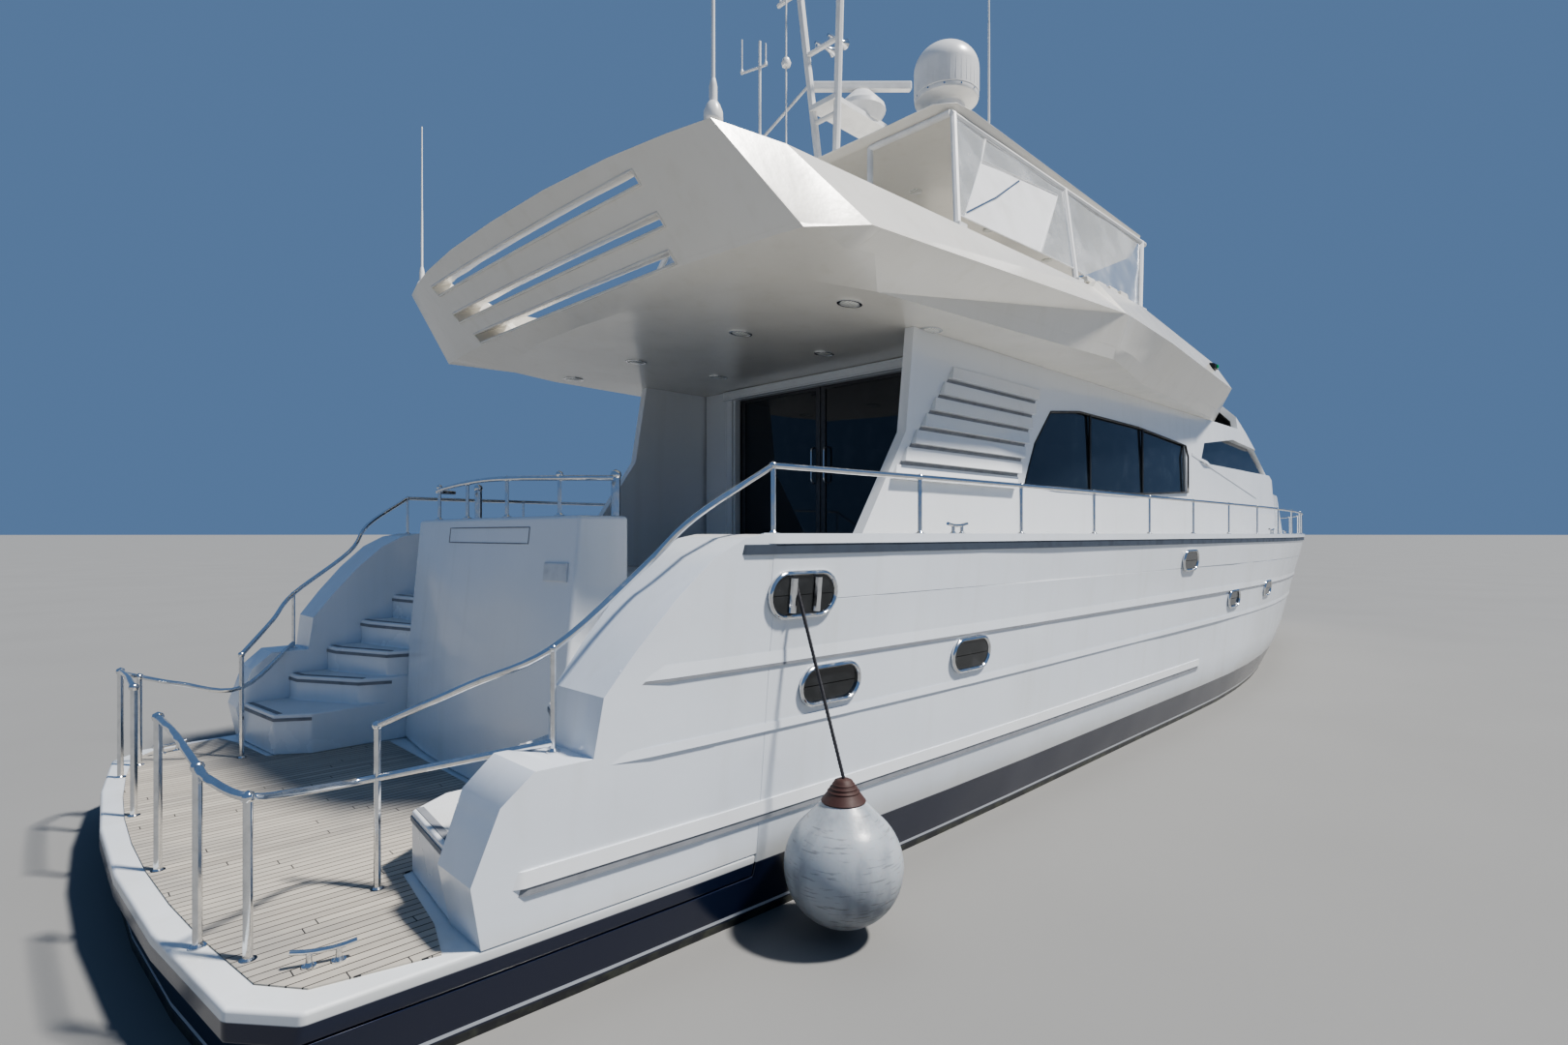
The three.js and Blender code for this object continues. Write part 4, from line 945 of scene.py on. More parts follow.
def add_window_trims():
    for side_name, side in SIDES.items():
        window_trim(f"saloon_gasket_{side_name}", saloon_window, side, "black_trim", 0.014, -0.004)
        for i, x in enumerate((-3.3, -1.65)):
            y = side * (HOUSE_HALF - 0.045)
            bar = block((x - 0.02, y - 0.012, 2.88), (x + 0.02, y + 0.012, 3.79))
            ease(bar, 0.006)
            done(bar, f"saloon_mullion_{i + 1}_{side_name}", "black_trim")
        line = [Vector((0.3 + 3.44 * t, 0, 3.58 - 0.55 * t)) for t in [i / 12 for i in range(13)]]
        points = [Vector((p.x, house_y(p.x, p.z, side) + side * 0.001, p.z)) for p in line]
        strip = moulding(points, [(-0.008 * side, -0.02), (0.016 * side, -0.016), (0.018 * side, 0.012),
                                  (-0.008 * side, 0.022)])
        done(strip, f"shoulder_moulding_{side_name}", "gelcoat", angle=40)


# Aft doors

def recessed_block(low, high, border, edge):
    """A block with a shallow recess in its aft face."""
    piece = block(low, high)
    with shaping(piece):
        pick_facing(piece, -1, 0, 0)
        inset(border)
        pull((0.012, 0, 0))
    return ease(piece, edge)


def add_door_details():
    x = BULKHEAD_X + 0.11
    for side_name, side in SIDES.items():
        y = side * 0.1
        handle = tube(curved([(x, y, 2.95), (x - 0.045, y, 2.97), (x - 0.05, y, 3.08), (x - 0.05, y, 3.24),
                              (x - 0.045, y, 3.35), (x, y, 3.37)]), 0.011)
        done(handle, f"door_handle_{side_name}", "stainless", f"door_{side_name}", angle=50)
    for side_name, side in SIDES.items():
        column = recessed_block((BULKHEAD_X - 0.03, side * 1.5 - 0.075, DECK_Z + 0.001),
                                (BULKHEAD_X + 0.001, side * 1.5 + 0.075, SOFFIT_Z - 0.001), 0.03, 0.005)
        done(column, f"door_column_{side_name}", "gelcoat")
    track = recessed_block((BULKHEAD_X - 0.06, -1.58, 4.085), (BULKHEAD_X + 0.001, 1.58, 4.195), 0.022, 0.008)
    done(track, "door_header", "gelcoat")


# Upper deck: lights in the soffit, lips of the slots

def soffit_light(name, x, y):
    rim = disc((x, y, SOFFIT_Z - 0.012), 0.085, (0, 0, 1), 28, 0.014)
    with shaping(rim):
        everything()
        stretch((1.45, 1, 1))
        pick_facing(rim, 0, 0, -1)
        inset(0.018)
        pull((0, 0, 0.006))
    ease(rim, 0.003, 2, 40)
    done(rim, f"{name}_rim", "stainless")
    lens = turned([(0, -0.012), (0.03, -0.0115), (0.052, -0.008), (0.064, 0.0), (0, 0.002)],
                  (x, y, SOFFIT_Z - 0.008), steps=28)
    with shaping(lens):
        everything()
        stretch((1.45, 1, 1))
    done(lens, f"{name}_lens", "lamp_white")


def add_soffit_lights():
    for row, x in enumerate((-7.84, -6.7)):
        for column, y in enumerate((-2.15, -0.84, 0.84, 2.15)):
            soffit_light(f"soffit_light_{row + 1}_{column + 1}", x, y)


slots = [(-9.65, 4.74, 1.75), (-9.43, 4.52, 1.75), (-9.23, 4.34, 1.65)]
SLOT_TILT = 0.45
SLOT_HALF_HEIGHT = 0.0375
LIP_STEPS = 24


def add_slot_lips():
    """A rounded lip round each slot's outer mouth."""
    through = Vector((cos(SLOT_TILT), 0, sin(SLOT_TILT)))
    across = Vector((-sin(SLOT_TILT), 0, cos(SLOT_TILT)))
    for i, (x, z, half) in enumerate(slots):
        lower = [(half * step / LIP_STEPS, -SLOT_HALF_HEIGHT) for step in range(-LIP_STEPS, LIP_STEPS + 1)]
        upper = [(y, SLOT_HALF_HEIGHT) for y, _ in reversed(lower)]
        points = []
        for y, rise in lower + upper:
            base = Vector((x, y, z)) + across * (rise + copysign(0.012, rise))
            hit, *_ = deck_skin.ray_cast(base - through * 1.2, through)
            if hit:
                points.append(hit)
        if len(points) > 20:
            done(tube(points, 0.012, 8, closed=True), f"slot_lip_{i + 1}", "upper_gelcoat", angle=60)


# Hardtop fittings, antennas, dome and mast

def whip(name, node, place, length, base_radius=0.045):
    profile = [(0, 0), (base_radius, 0), (base_radius, 0.03), (0.03, 0.05), (0.026, 0.09), (0.026, 0.25),
               (0.018, 0.29), (0.0125, 0.31), (0.011, length * 0.5), (0.009, length * 0.5 + 0.004),
               (0.0065, length - 0.02), (0.009, length - 0.012), (0.006, length), (0, length)]
    done(turned(profile, place, steps=20), name, "mast_paint", angle=50, replaces=[node])


def add_antennas():
    for node, length in (("whip_starboard_aft", 2.4), ("whip_port_aft", 1.8), ("whip_hardtop", 3.0)):
        foot = foot_of(node)
        whip(f"{node}_fine", node, foot, length)
        knob = turned([(0, 0.031), (0.052, 0.031), (0.062, 0.045), (0.06, 0.09), (0.045, 0.13), (0.032, 0.15),
                       (0, 0.15)], foot, steps=24)
        done(knob, f"{node}_knob", "mast_paint", angle=50)


def add_dome():
    """A drum with fine upright ribs under a rounded cap, on a narrower foot."""
    middle = foot_of("satellite_dome")
    arc = [(0.32 * cos(a), 0.5 + 0.272 * sin(a)) for a in [pi / 2 * i / 14 for i in range(15)]]
    profile = [(0, 0), (0.185, 0), (0.19, 0.012), (0.18, 0.03), (0.18, 0.15), (0.2, 0.17), (0.296, 0.19),
               (0.31, 0.2), (0.315, 0.215), (0.315, 0.235), (0.311, 0.24), (0.311, 0.245), (0.317, 0.25), *arc]
    dome = turned(profile, middle, steps=72)
    ribs = [tube([middle + out * 0.316 + lift(z) for z in (0.27, 0.4, 0.5)], 0.0045, 8) for out in rays(36)]
    done(joined(dome, *ribs), "satellite_dome_fine", "mast_paint", replaces=["satellite_dome"])
    bolts = [disc(middle + out * 0.312 + lift(0.225), 0.009, out, 10, 0.007) for out in rays(12)]
    done(joined(*bolts), "dome_bolts", "stainless")


MAST_X = -5.7
MAST_TOP_Z = 9.6
RADAR_X = -5.08
RADAR_Z = 7.85
RADAR_TURN = pi / 4


def add_radar():
    bar = block((-0.055, -0.62, 0.01), (0.055, 0.62, 0.12))
    with shaping(bar):
        pick(bar, lambda middle, normal: abs(normal.y) > 0.9)
        inset(0.018)
        pick_facing(bar, 1, 0, 0)
        stretch((1, 0.985, 0.8))
    bar.rotation_euler.z = RADAR_TURN
    bar.location = (RADAR_X, 0, RADAR_Z)
    settle(bar)
    ease(bar, 0.022, 4)
    hub = turned([(0, -0.018), (0.045, -0.018), (0.06, 0.0), (0.09, 0.005), (0.1, 0.02), (0, 0.03)],
                 (RADAR_X, 0, RADAR_Z), steps=32)
    done(joined(bar, hub), "radar_scanner_fine", "mast_paint", "radar_scanner_body", replaces=["radar_scanner"])


def add_mast_fittings():
    """Lamps, horns and small aerials on the mast and along the hardtop's aft edge."""
    aft_x = -6.45
    base = Vector((aft_x, 0.39, HARDTOP_TOP_Z))
    aerial = [tube([base, base + lift(1.6)], 0.016), flange(base, 0.05),
              tube([base + Vector((0, -0.11, 1.28)), base + Vector((0, 0.32, 1.36))], 0.014)]
    second = Vector((-6.0, 0.41, HARDTOP_TOP_Z))
    bulb = [(0, 0), (0.05, 0.01), (0.06, 0.05), (0.04, 0.1), (0, 0.11)]
    aerial += [tube([second, second + lift(2.6)], 0.01), flange(second, 0.04),
               turned(bulb, second + lift(1.5), steps=20)]
    for y, height in ((-0.1, 0.25), (0.31, 0.4)):
        foot = base + Vector((0, y, 1.28 + 0.19 * (y + 0.1)))
        aerial.append(tube([foot, foot + lift(height)], 0.008))
        aerial.append(turned([(0, 0), (0.02, 0.004), (0.02, 0.03), (0.009, 0.05), (0, 0.05)], foot, steps=16))
    done(joined(*aerial), "aft_aerials", "mast_paint", angle=50)
    stay_foot = Vector((aft_x + 0.02, 1.5, HARDTOP_TOP_Z))
    stay = [tube([stay_foot, Vector((MAST_X - 0.08, 0.227, 7.76))], 0.018), flange(stay_foot, 0.04)]
    done(joined(*stay), "mast_stay", "mast_paint", angle=50)
    lamp = turned([(0, 0), (0.03, 0), (0.034, 0.01), (0.03, 0.02), (0.03, 0.085), (0.034, 0.09), (0.02, 0.11),
                   (0, 0.112)], (MAST_X - 0.15, 0.0, MAST_TOP_Z - 0.12), steps=24)
    done(lamp, "anchor_lamp_1", "lamp_white", angle=50)
    horn_parts = []
    for y in (-0.1, 0.1):
        horn_parts.append(turned([(0, 0), (0.018, 0), (0.02, 0.05), (0.022, 0.2), (0.035, 0.27), (0.06, 0.31),
                                  (0.064, 0.315), (0.05, 0.31), (0.02, 0.24), (0, 0.2)],
                                 (MAST_X - 0.12, y, 8.19), axis=(1, 0, 0.08), steps=24))
        horn_parts.append(tube([(MAST_X - 0.1, y, 8.1), (MAST_X - 0.1, y, 8.2)], 0.014))
    done(joined(*horn_parts), "horns", "stainless", angle=50)
    for i, y in enumerate((-0.66, 0.66)):
        ball = turned([(0, 0), (0.014, 0), (0.014, 0.09), (0.05, 0.1), (0.062, 0.13), (0.05, 0.165), (0, 0.18)],
                      (MAST_X - 0.15, y, 8.912), steps=24)
        done(ball, f"navigation_aerial_{i + 1}", "mast_paint", angle=50)


def add_hardtop_details():
    for i, (x, y) in enumerate([(x, y) for x in (-5.2, -3.6, -2.0) for y in (-0.9, 0.9)]):
        lamp = turned([(0, -0.02), (0.05, -0.018), (0.07, -0.01), (0.075, 0.002), (0, 0.004)], (x, y, HARDTOP_Z),
                      steps=24)
        done(lamp, f"hardtop_lamp_{i + 1}", "lamp_white", angle=50)
    for side_name, side in SIDES.items():
        line = [(x, side * y, HARDTOP_TOP_Z + z) for x, y, z in
                [(-4.2, 1.86, -0.02), (-4.15, 1.86, 0.06), (-3.9, 1.86, 0.075), (-3.0, 1.86, 0.075),
                 (-2.3, 1.82, 0.075), (-2.1, 1.82, 0.06), (-2.05, 1.82, -0.02)]]
        done(tube(curved(line, 4), 0.013), f"hardtop_handrail_{side_name}", "stainless", angle=50)


# Gear in use: the fender and its line

FENDER = Vector((-9.14, -3.21, 0.42))
FENDER_RADIUS = 0.35
HAWSE = Vector((-9.3, -2.965, 2.09))


def laid_line(start, end, radius=0.011, pitch=0.07):
    """A taut line of three strands laid round each other."""
    axis = end - start
    across = axis.orthogonal().normalized()
    other = axis.normalized().cross(across)
    steps = int(axis.length / pitch * 8)
    strands = []
    for strand in range(3):
        points = []
        for step in range(steps + 1):
            angle = 2 * pi * (axis.length / pitch * step / steps + strand / 3)
            out = (across * cos(angle) + other * sin(angle)) * radius * 0.5
            points.append(start + axis * (step / steps) + out)
        strands.append(tube(points, radius * 0.55, 8))
    return joined(*strands)


def add_fender():
    """A ball fender drawn out to a neck, with the line that holds it."""
    angles = [radians(-90 + 140 * i / 28) for i in range(29)]
    ball = [(FENDER_RADIUS * cos(angle), FENDER_RADIUS * sin(angle)) for angle in angles]
    profile = [*ball, (0.19, 0.305), (0.155, 0.34), (0.125, 0.37), (0.11, 0.385), (0, 0.385)]
    done(turned(profile, FENDER, steps=96), "fender_ball", "fender_skin", angle=60, replaces=["fender"])
    neck = [turned([(0, 0.36), (0.128, 0.366), (0.132, 0.374), (0.112, 0.4), (0.088, 0.43), (0.07, 0.46),
                    (0.052, 0.49), (0.03, 0.5), (0, 0.5)], FENDER, steps=40)]
    for turn in range(3):
        neck.append(turned(round_section(0.086 - 0.014 * turn, 0.425 + 0.02 * turn, 0.01, 10), FENDER, steps=40))
    done(joined(*neck), "fender_neck", "fender_cap", angle=60)
    line = laid_line(FENDER + lift(0.503), HAWSE)
    done(line, "fender_rope", "rope", angle=60, replaces=["fender_line"])


# Seats: moulded bases with sewn cushions

FLY_FLOOR_Z = 4.32
CUSHION_VOXEL = 0.022
CUSHION_SWELL = 0.02
CLOTH_FRAMES = 14
SEAM_STEPS = 72


def swollen(piece):
    """Blows a cover up by cloth pressure, held within a small swell."""
    before = [vertex.co.copy() for vertex in piece.data.vertices]
    take(piece)
    cloth = piece.modifiers.new("cover", "CLOTH")
    cloth.settings.use_pressure = True
    cloth.settings.uniform_pressure_force = 4.0
    cloth.settings.effector_weights.gravity = 0.0
    for step in range(1, CLOTH_FRAMES + 1):
        bpy.context.scene.frame_set(step)
    bpy.ops.object.modifier_apply(modifier=cloth.name)
    bpy.context.scene.frame_set(1)
    for vertex, start in zip(piece.data.vertices, before):
        way = vertex.co - start
        if way.length > CUSHION_SWELL:
            vertex.co = start + way * (CUSHION_SWELL / way.length)


def sewn(size):
    """A padded form of the given size: a blown-up cover with piping at its seams."""
    piece = block([-value / 2 for value in size], [value / 2 for value in size])
    ease(piece, min(size) * 0.2, 3)
    modify(piece, "REMESH", mode="VOXEL", voxel_size=CUSHION_VOXEL)
    swollen(piece)
    modify(piece, "SUBSURF", levels=1, render_levels=1)
    skin = BVHTree.FromPolygons([vertex.co.copy() for vertex in piece.data.vertices],
                                [list(face.vertices) for face in piece.data.polygons])
    parts = [piece]
    flat = max(range(3), key=lambda axis: -size[axis])
    wide = [axis for axis in range(3) if axis != flat]
    for level in (-0.3, 0.3):
        seam = []
        for i in range(SEAM_STEPS):
            angle = 2 * pi * (i + 0.5) / SEAM_STEPS
            away, centre = Vector(), Vector()
            away[wide[0]] = cos(angle) * size[wide[0]]
            away[wide[1]] = sin(angle) * size[wide[1]]
            centre[flat] = level * size[flat]
            hit, *_ = skin.ray_cast(centre + away * 2, -away)
            if hit:
                seam.append(hit)
        parts.append(tube(seam, 0.005, 8, closed=True))
    piece = joined(*parts)
    for axis in range(3):
        places = [vertex.co[axis] for vertex in piece.data.vertices]
        piece.scale[axis] = size[axis] / (max(places) - min(places))
    return settle(piece)


def cushion(name, master, low, high):
    """A copy of a padded form, fitted between two corners."""
    low, high = Vector(low), Vector(high)
    take(master)
    bpy.ops.object.duplicate()
    piece = bpy.context.object
    size = master.dimensions
    piece.scale = [(high[axis] - low[axis]) / size[axis] for axis in range(3)]
    piece.location = (low + high) / 2
    done(piece, name, "upholstery", angle=80)
    return piece


def seat_base(name, node, boxes):
    """The moulded boxes under the cushions of one seat."""
    parts = []
    for low, high in boxes:
        part = block(low, high)
        with shaping(part):
            pick_facing(part, 0, 0, 1)
            inset(0.02, -0.004)
        parts.append(ease(part, 0.012, 3))
    done(joined(*parts), name, "gelcoat", replaces=[node])


def row(name, master, low, high, count, axis):
    """Like cushions side by side along one axis, 8 mm apart."""
    step = (high[axis] - low[axis]) / count
    for i in range(count):
        start, end = list(low), list(high)
        start[axis] = low[axis] + step * i + 0.004
        end[axis] = low[axis] + step * (i + 1) - 0.004
        cushion(f"{name}_{i + 1}", master, start, end)


def add_seats():
    seat = sewn((0.8, 0.6, 0.13))
    back = sewn((0.8, 0.13, 0.42))
    floor = FLY_FLOOR_Z + 0.001
    seat_base("fly_bench_base", "fly_bench", [((-0.25, -0.65, floor), (0.15, 0.65, floor + 0.4)),
                                              ((-0.3, -0.75, floor + 0.38), (0.24, 0.75, floor + 0.43)),
                                              ((-0.38, -0.75, floor + 0.38), (-0.345, 0.75, floor + 1.03))])
    row("bench_cushion", seat, (-0.25, -0.75, floor + 0.43), (0.25, 0.75, floor + 0.56), 2, 1)
    tall = sewn((0.1, 0.75, 0.5))
    row("bench_back", tall, (-0.345, -0.75, floor + 0.55), (-0.24, 0.75, floor + 1.05), 2, 1)
    seat_base("fly_settee_base", "fly_settee", [((-3.9, 1.45, floor), (-1.5, 2.15, floor + 0.3)),
                                                ((-3.9, 2.19, floor + 0.2), (-1.5, 2.25, floor + 0.83)),
                                                ((-3.9, 0.3, floor), (-3.2, 1.5, floor + 0.3))])
    row("settee_cushion", seat, (-3.2, 1.45, floor + 0.3), (-1.5, 2.06, floor + 0.42), 2, 0)
    row("settee_return", seat, (-3.9, 0.3, floor + 0.3), (-3.2, 1.5, floor + 0.42), 2, 1)
    row("settee_corner", seat, (-3.9, 1.5, floor + 0.3), (-3.2, 2.06, floor + 0.42), 1, 0)
    row("settee_back", back, (-3.9, 2.05, floor + 0.43), (-1.5, 2.19, floor + 0.85), 3, 0)
    floor = DECK_Z + 0.001
    seat_base("saloon_sofa_base", "saloon_sofa", [((-4.6, -1.9, floor), (-1.2, -1.3, floor + 0.3)),
                                                  ((-4.6, -1.98, floor), (-1.2, -1.945, floor + 0.8)),
                                                  ((-1.9, -1.4, floor), (-1.2, -0.3, floor + 0.3))])
    row("sofa_cushion", seat, (-4.6, -1.8, floor + 0.3), (-1.9, -1.3, floor + 0.43), 3, 0)
    row("sofa_return", seat, (-1.9, -1.3, floor + 0.3), (-1.2, -0.3, floor + 0.43), 1, 0)
    row("sofa_corner", seat, (-1.9, -1.8, floor + 0.3), (-1.2, -1.3, floor + 0.43), 1, 0)
    row("sofa_back", back, (-4.6, -1.945, floor + 0.43), (-1.2, -1.8, floor + 0.82), 4, 0)
    for master in (seat, back, tall):
        bpy.data.objects.remove(master)


# Helm wheel, windlass, hatch, wipers, side lights, zincs

WHEEL = Vector((0.64, 0, 5.33))
WHEEL_TILT = 0.5


def add_wheel():
    parts = [turned(round_section(0.19, 0.0, 0.0135, 14), (0, 0, 0), steps=64)]
    parts += [tube([out * 0.02, out * 0.09 - lift(0.004), out * 0.185], 0.008, 12) for out in rays(3)]
    parts.append(turned([(0, -0.02), (0.024, -0.02), (0.03, -0.014), (0.03, 0.05), (0.024, 0.06), (0.022, 0.078),
                         (0, 0.08)], (0, 0, 0), steps=32))
    wheel = joined(*parts)
    wheel.rotation_mode = "XYZ"
    wheel.rotation_euler = (0, pi / 2 + WHEEL_TILT, 0)
    wheel.location = WHEEL
    done(wheel, "fly_wheel_fine", "stainless", body_of["fly_wheel"], 50, ["fly_wheel"])


def add_windlass():
    centre = foot_of("windlass")
    parts = [turned([(0, 0), (0.188, 0), (0.19, 0.01), (0.186, 0.06), (0.176, 0.07), (0.112, 0.078), (0.108, 0.09),
                     (0.118, 0.1), (0.122, 0.112), (0.108, 0.128), (0.084, 0.14), (0.08, 0.165), (0.082, 0.19),
                     (0.1, 0.22), (0.119, 0.245), (0.12, 0.262), (0.11, 0.278), (0.05, 0.28), (0, 0.28)],
                    centre, steps=48)]
    for out in rays(10):
        whelp = [centre + out * reach + lift(z) for reach, z in ((0.081, 0.14), (0.083, 0.19), (0.104, 0.225))]
        parts.append(tube(whelp, 0.006, 8))
        parts.append(disc(centre + out * 0.165 + lift(0.068), 0.009, sides=10, depth=0.006))
    done(joined(*parts), "windlass_fine", "stainless", angle=40, replaces=["windlass"])


def add_foredeck_details():
    low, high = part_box("foredeck_hatch")
    pane = block((low.x + 0.05, low.y + 0.05, high.z - 0.004), (high.x - 0.05, high.y - 0.05, high.z + 0.004))
    with shaping(pane):
        pick_facing(pane, 0, 0, 1)
        inset(0.012, -0.002)
    ease(pane, 0.003)
    done(pane, "hatch_pane", "screen_glass", body_of["foredeck_hatch"])
    for i, y in enumerate((-0.16, 0.16)):
        handle = tube(curved([(high.x - 0.09, y - 0.04, high.z), (high.x - 0.09, y - 0.035, high.z + 0.02),
                              (high.x - 0.09, y + 0.035, high.z + 0.02), (high.x - 0.09, y + 0.04, high.z)]), 0.006)
        done(handle, f"hatch_handle_{i + 1}", "stainless", body_of["foredeck_hatch"], 50)
    pilot_skin = skin_of("pilothouse_glass", "pilothouse_front")
    glass_low, glass_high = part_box("pilothouse_glass")
    for i, y in enumerate((-1.0, 0.0, 1.0)):
        line = []
        for step in range(6):
            t = step / 5
            z = glass_low.z + 0.28 + (glass_high.z - glass_low.z) * 0.5 * t
            hit, normal, *_ = pilot_skin.ray_cast(Vector((12, y - 0.3 * t, z)), Vector((-1, 0, 0)))
            if hit:
                line.append(hit + normal * (0.02 if step else 0.008))
        if len(line) > 3:
            arm = tube(line[:5], 0.007, 8)
            blade = tube([point - Vector((0, 0.02, 0)) for point in line[2:]], 0.009, 8)
            root = turned([(0, 0), (0.02, 0), (0.022, 0.01), (0.016, 0.03), (0, 0.034)], line[0], (1, 0, 0.6), 20)
            done(joined(arm, blade, root), f"wiper_{i + 1}", "black_trim", angle=50)


def add_side_lights():
    for side_name, side in SIDES.items():
        place, normal = beside(deck_skin, 0.2, 4.86, side)
        half = Vector((0.09, 0.012, 0.05))
        shell = block(place - half, place + half)
        with shaping(shell):
            pick(shell, lambda middle, direction: direction.y * side > 0.9)
            inset(0.015)
            shift((0, side * 0.05, 0))
        ease(shell, 0.004)
        done(shell, f"side_light_{side_name}_shell", "black_trim")
        lens = turned([(0, -0.028), (0.026, -0.026), (0.03, -0.018), (0.03, 0.018), (0.026, 0.026), (0, 0.028)],
                      (place.x + 0.03, place.y + side * 0.055, place.z), steps=24)
        done(lens, f"side_light_{side_name}", "lamp_red" if side > 0 else "lamp_green", angle=50)


def add_zincs():
    for side_name in SIDES:
        node = f"rudder_{side_name}"
        middle = foot_of(node)
        for face_name, face in (("in", -1), ("out", 1)):
            zinc = turned([(0, 0), (0.055, 0), (0.058, 0.006), (0.05, 0.016), (0.015, 0.02), (0, 0.02)],
                          (middle.x + 0.02, middle.y + face * 0.042, -1.05), axis=(0, face, 0), steps=28)
            done(zinc, f"rudder_zinc_{side_name}_{face_name}", "zinc", body_of[node])


# Stern stairs and transom

STAIR_OUTER_Y = 2.3597
TRANSOM_HALF = 1.45
# Section of the dark strip painted as the shadow under each nosing
NOSING_SHADOW_SECTION = [(-0.006, -0.014), (0.004, -0.012), (0.005, 0.012), (-0.006, 0.014)]
# Columns: height, x and y of the inboard end of the nosing, x of its outboard end
treads = [(0.8, -11.0, 1.62, -11.08), (1.03, -10.35, 1.56, -10.72), (1.26, -10.12, 1.53, -10.4),
          (1.49, -9.9, 1.51, -10.1), (1.72, -9.68, 1.49, -9.8)]


def add_nosing_shadows_and_grips():
    """A dark line painted as the shadow under each nosing, and a gritted strip on its tread."""
    for side_name, side in SIDES.items():
        for i, (z, x, y, outer_x) in enumerate(treads):
            line = [(outer_x, STAIR_OUTER_Y - 0.01), (outer_x + 0.02, STAIR_OUTER_Y - 0.2), (x, y),
                    (min(x + 0.25, -9.52), TRANSOM_HALF + 0.004)]
            points = [(px, side * py, z - 0.045) for px, py in line]
            section = [(-side * out, up) for out, up in NOSING_SHADOW_SECTION]
            # Painted shadow line under the nosing
            done(moulding(points, section), f"nosing_{i + 1}_{side_name}", "shadow_and_seam_trim", angle=40)
            grip = [(px + 0.045, side * (py - 0.02 * (k == 0)), z + 0.0005) for k, (px, py) in enumerate(line[:3])]
            strip = moulding(grip, [(-0.02, -0.001), (-0.02, 0.0035), (0.02, 0.0035), (0.02, -0.001)])
            done(strip, f"tread_grip_{i + 1}_{side_name}", "shadow_and_seam_trim", angle=40)


def add_transom_details():
    skin = skin_of("transom")

    def on_face(y, z):
        return skin.ray_cast(Vector((-14, y, z)), Vector((1, 0, 0)))[0]

    def ring(y0, y1, z0, z1, count=10):
        corners = [(y0, z0), (y1, z0), (y1, z1), (y0, z1)]
        points = []
        for (ya, za), (yb, zb) in zip(corners, [*corners[1:], corners[0]]):
            points += [on_face(ya + (yb - ya) * k / count, za + (zb - za) * k / count) for k in range(count)]
        return points

    done(tube(ring(-0.86, 0.54, 2.28, 2.4), 0.005, 8, closed=True), "transom_slot_seam", "shadow_and_seam_trim", angle=60)
    plate = slab(ring(-1.38, -1.1, 2.02, 2.15, 3), (-0.012, 0, 0), 0.012, crown=(-0.006, 0, 0))
    done(plate, "transom_plate", "moulded_trim")


# Enclosure of the flybridge: clear panels and a white canvas one between the hardtop's posts

# The posts of one side, foot and head
hardtop_posts = [((-6.84, 2.51, 4.99), (-6.35, 2.15, 6.27)), ((-4.56, 2.51, 5.11), (-4.08, 2.15, 6.27)),
                 ((-2.48, 2.385, 5.06), (-1.8, 2.15, 6.27))]
# Columns: name, finish, bay, corners as share along the bay and share of the height
panels = [
    ("aft_clear", "clear_vinyl", 0, [(0.02, 0.1), (0.05, 0.1), (0.2, 0.7), (0.24, 0.97), (0.02, 0.97)]),
    ("canvas", "canvas", 0, [(0.05, 0.1), (0.66, 0.08), (0.91, 0.86), (0.2, 0.7)]),
    ("fore_clear", "clear_vinyl", 0, [(0.67, 0.08), (0.98, 0.06), (0.98, 0.97), (0.25, 0.97), (0.205, 0.72),
                                      (0.915, 0.87)]),
    ("side_clear", "clear_vinyl", 1, [(0.02, 0.06), (0.98, 0.05), (0.98, 0.97), (0.02, 0.97)]),
]


def in_bay(bay, along, up, side):
    foot = Vector(hardtop_posts[bay][0]).lerp(Vector(hardtop_posts[bay + 1][0]), along)
    head = Vector(hardtop_posts[bay][1]).lerp(Vector(hardtop_posts[bay + 1][1]), along)
    place = foot.lerp(head, up)
    return Vector((place.x, side * place.y, place.z))


def add_enclosure():
    for side_name, side in SIDES.items():
        for name, finish, bay, corners in panels:
            outline = [in_bay(bay, along, up, side) for along, up in corners]
            sheet = line_through(outline, closed=True)
            with shaping(sheet):
                everything()
                bpy.ops.mesh.quads_convert_to_tris()
                bpy.ops.mesh.subdivide(number_cuts=7)
            for vertex in sheet.data.vertices:
                wave = sin(vertex.co.x * 5.3 + vertex.co.z * 3.1) * sin(vertex.co.z * 4.7)
                vertex.co.y += side * 0.006 * wave
            modify(sheet, "SOLIDIFY", thickness=0.002, offset=0)
            done(sheet, f"enclosure_{name}_{side_name}", finish, angle=60)
            hem = tube(outline, 0.008, 8, closed=True)
            done(hem, f"enclosure_{name}_hem_{side_name}", "canvas", angle=60)
        brace = tube([in_bay(0, 0.06, 0.14, side), in_bay(0, 0.3, 0.42, side), in_bay(0, 0.52, 0.74, side)], 0.012)
        done(brace, f"enclosure_brace_{side_name}", "stainless", angle=50)
        for k, x in enumerate((-4.2, -3.9, -3.6, -3.3)):
            place, _ = below(deck_skin, x, side * 2.47, 6.0)
            if not place:
                continue
            snap = block((x - 0.11, place.y - 0.06, place.z), (x + 0.11, place.y + 0.06, place.z + 0.07))
            with shaping(snap):
                pick_facing(snap, 0, 0, 1)
                stretch((0.9, 0.8, 1))
            ease(snap, 0.012, 3)
            done(snap, f"coaming_block_{k + 1}_{side_name}", "upper_gelcoat")


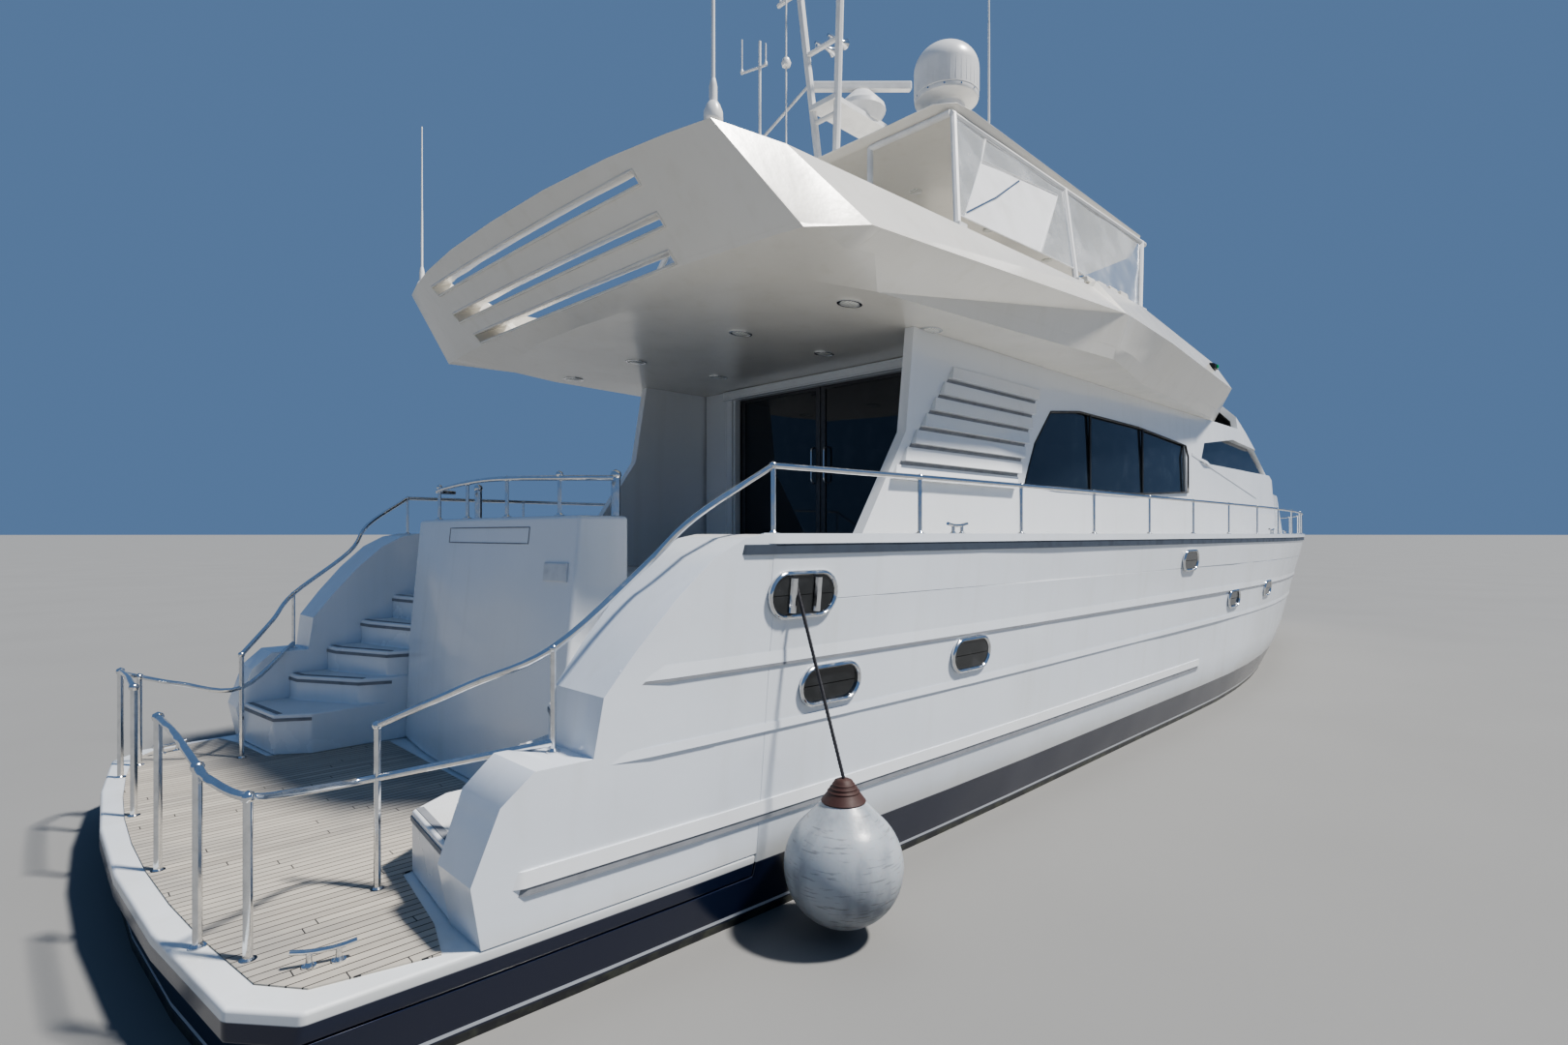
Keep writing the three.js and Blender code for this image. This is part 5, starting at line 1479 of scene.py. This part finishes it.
build_steps = [dress_solids, add_hull_strips, add_hull_ports, add_side_rails, add_transom_rail, add_stern,
               add_louvres, add_window_trims, add_door_details, add_soffit_lights, add_slot_lips, add_antennas,
               add_dome, add_radar, add_mast_fittings, add_hardtop_details, add_fender, add_seats, add_wheel,
               add_windlass, add_foredeck_details, add_side_lights, add_zincs, add_nosing_shadows_and_grips, add_transom_details,
               add_enclosure]
for build in build_steps:
    build()


# Stage, light and camera

CAMERA_PLACE = (-12.6, -6.2, 2.35)
CAMERA_HEADING = 45.2
LENS_PIXELS = 805
PHOTO_SIZE = (1620, 1080)
HORIZON_ROW = 552
FLOOR_SIZE = 6000
VIEW_REACH = 8000
SKY_TONE = (0.30, 0.50, 0.88, 1)
SKY_STRENGTH = 0.36
SUN_WAY = Vector((-0.3, 0.45, -0.85))
SUN_ENERGY = 5.8
SUN_WIDTH = radians(5)
SUN_TONE = (1.0, 0.96, 0.9)


def set_stage():
    rest()
    bpy.ops.mesh.primitive_plane_add(size=FLOOR_SIZE, location=(0, 0, 0))
    floor = bpy.context.object
    floor.name = "floor"
    ground = Finish("floor", Roughness=0.9)
    mottle = ground.noise(0.3)
    ground.feed("Base Color", ground.mix(mottle, (0.215, 0.215, 0.21), (0.245, 0.245, 0.24)))
    floor.data.materials.append(ground.material)


def set_lights():
    world = bpy.data.worlds.new("studio")
    world.use_nodes = True
    background = world.node_tree.nodes["Background"]
    background.inputs["Color"].default_value = SKY_TONE
    background.inputs["Strength"].default_value = SKY_STRENGTH
    bpy.context.scene.world = world
    rest()
    bpy.ops.object.light_add(type="SUN", rotation=SUN_WAY.to_track_quat("-Z", "Y").to_euler())
    sun = bpy.context.object.data
    sun.energy = SUN_ENERGY
    sun.angle = SUN_WIDTH
    sun.color = SUN_TONE


def set_camera():
    rest()
    heading = radians(CAMERA_HEADING)
    view_line = Vector((cos(heading), sin(heading), 0))
    bpy.ops.object.camera_add(location=CAMERA_PLACE, rotation=view_line.to_track_quat("-Z", "Y").to_euler())
    camera = bpy.context.object
    camera.data.sensor_width = 36
    camera.data.lens = 36 * LENS_PIXELS / PHOTO_SIZE[0]
    camera.data.shift_y = (HORIZON_ROW - PHOTO_SIZE[1] / 2) / PHOTO_SIZE[0]
    camera.data.clip_end = VIEW_REACH
    bpy.context.scene.camera = camera


bpy.context.scene.view_settings.look = "AgX - Medium High Contrast"
set_stage()
set_lights()
set_camera()
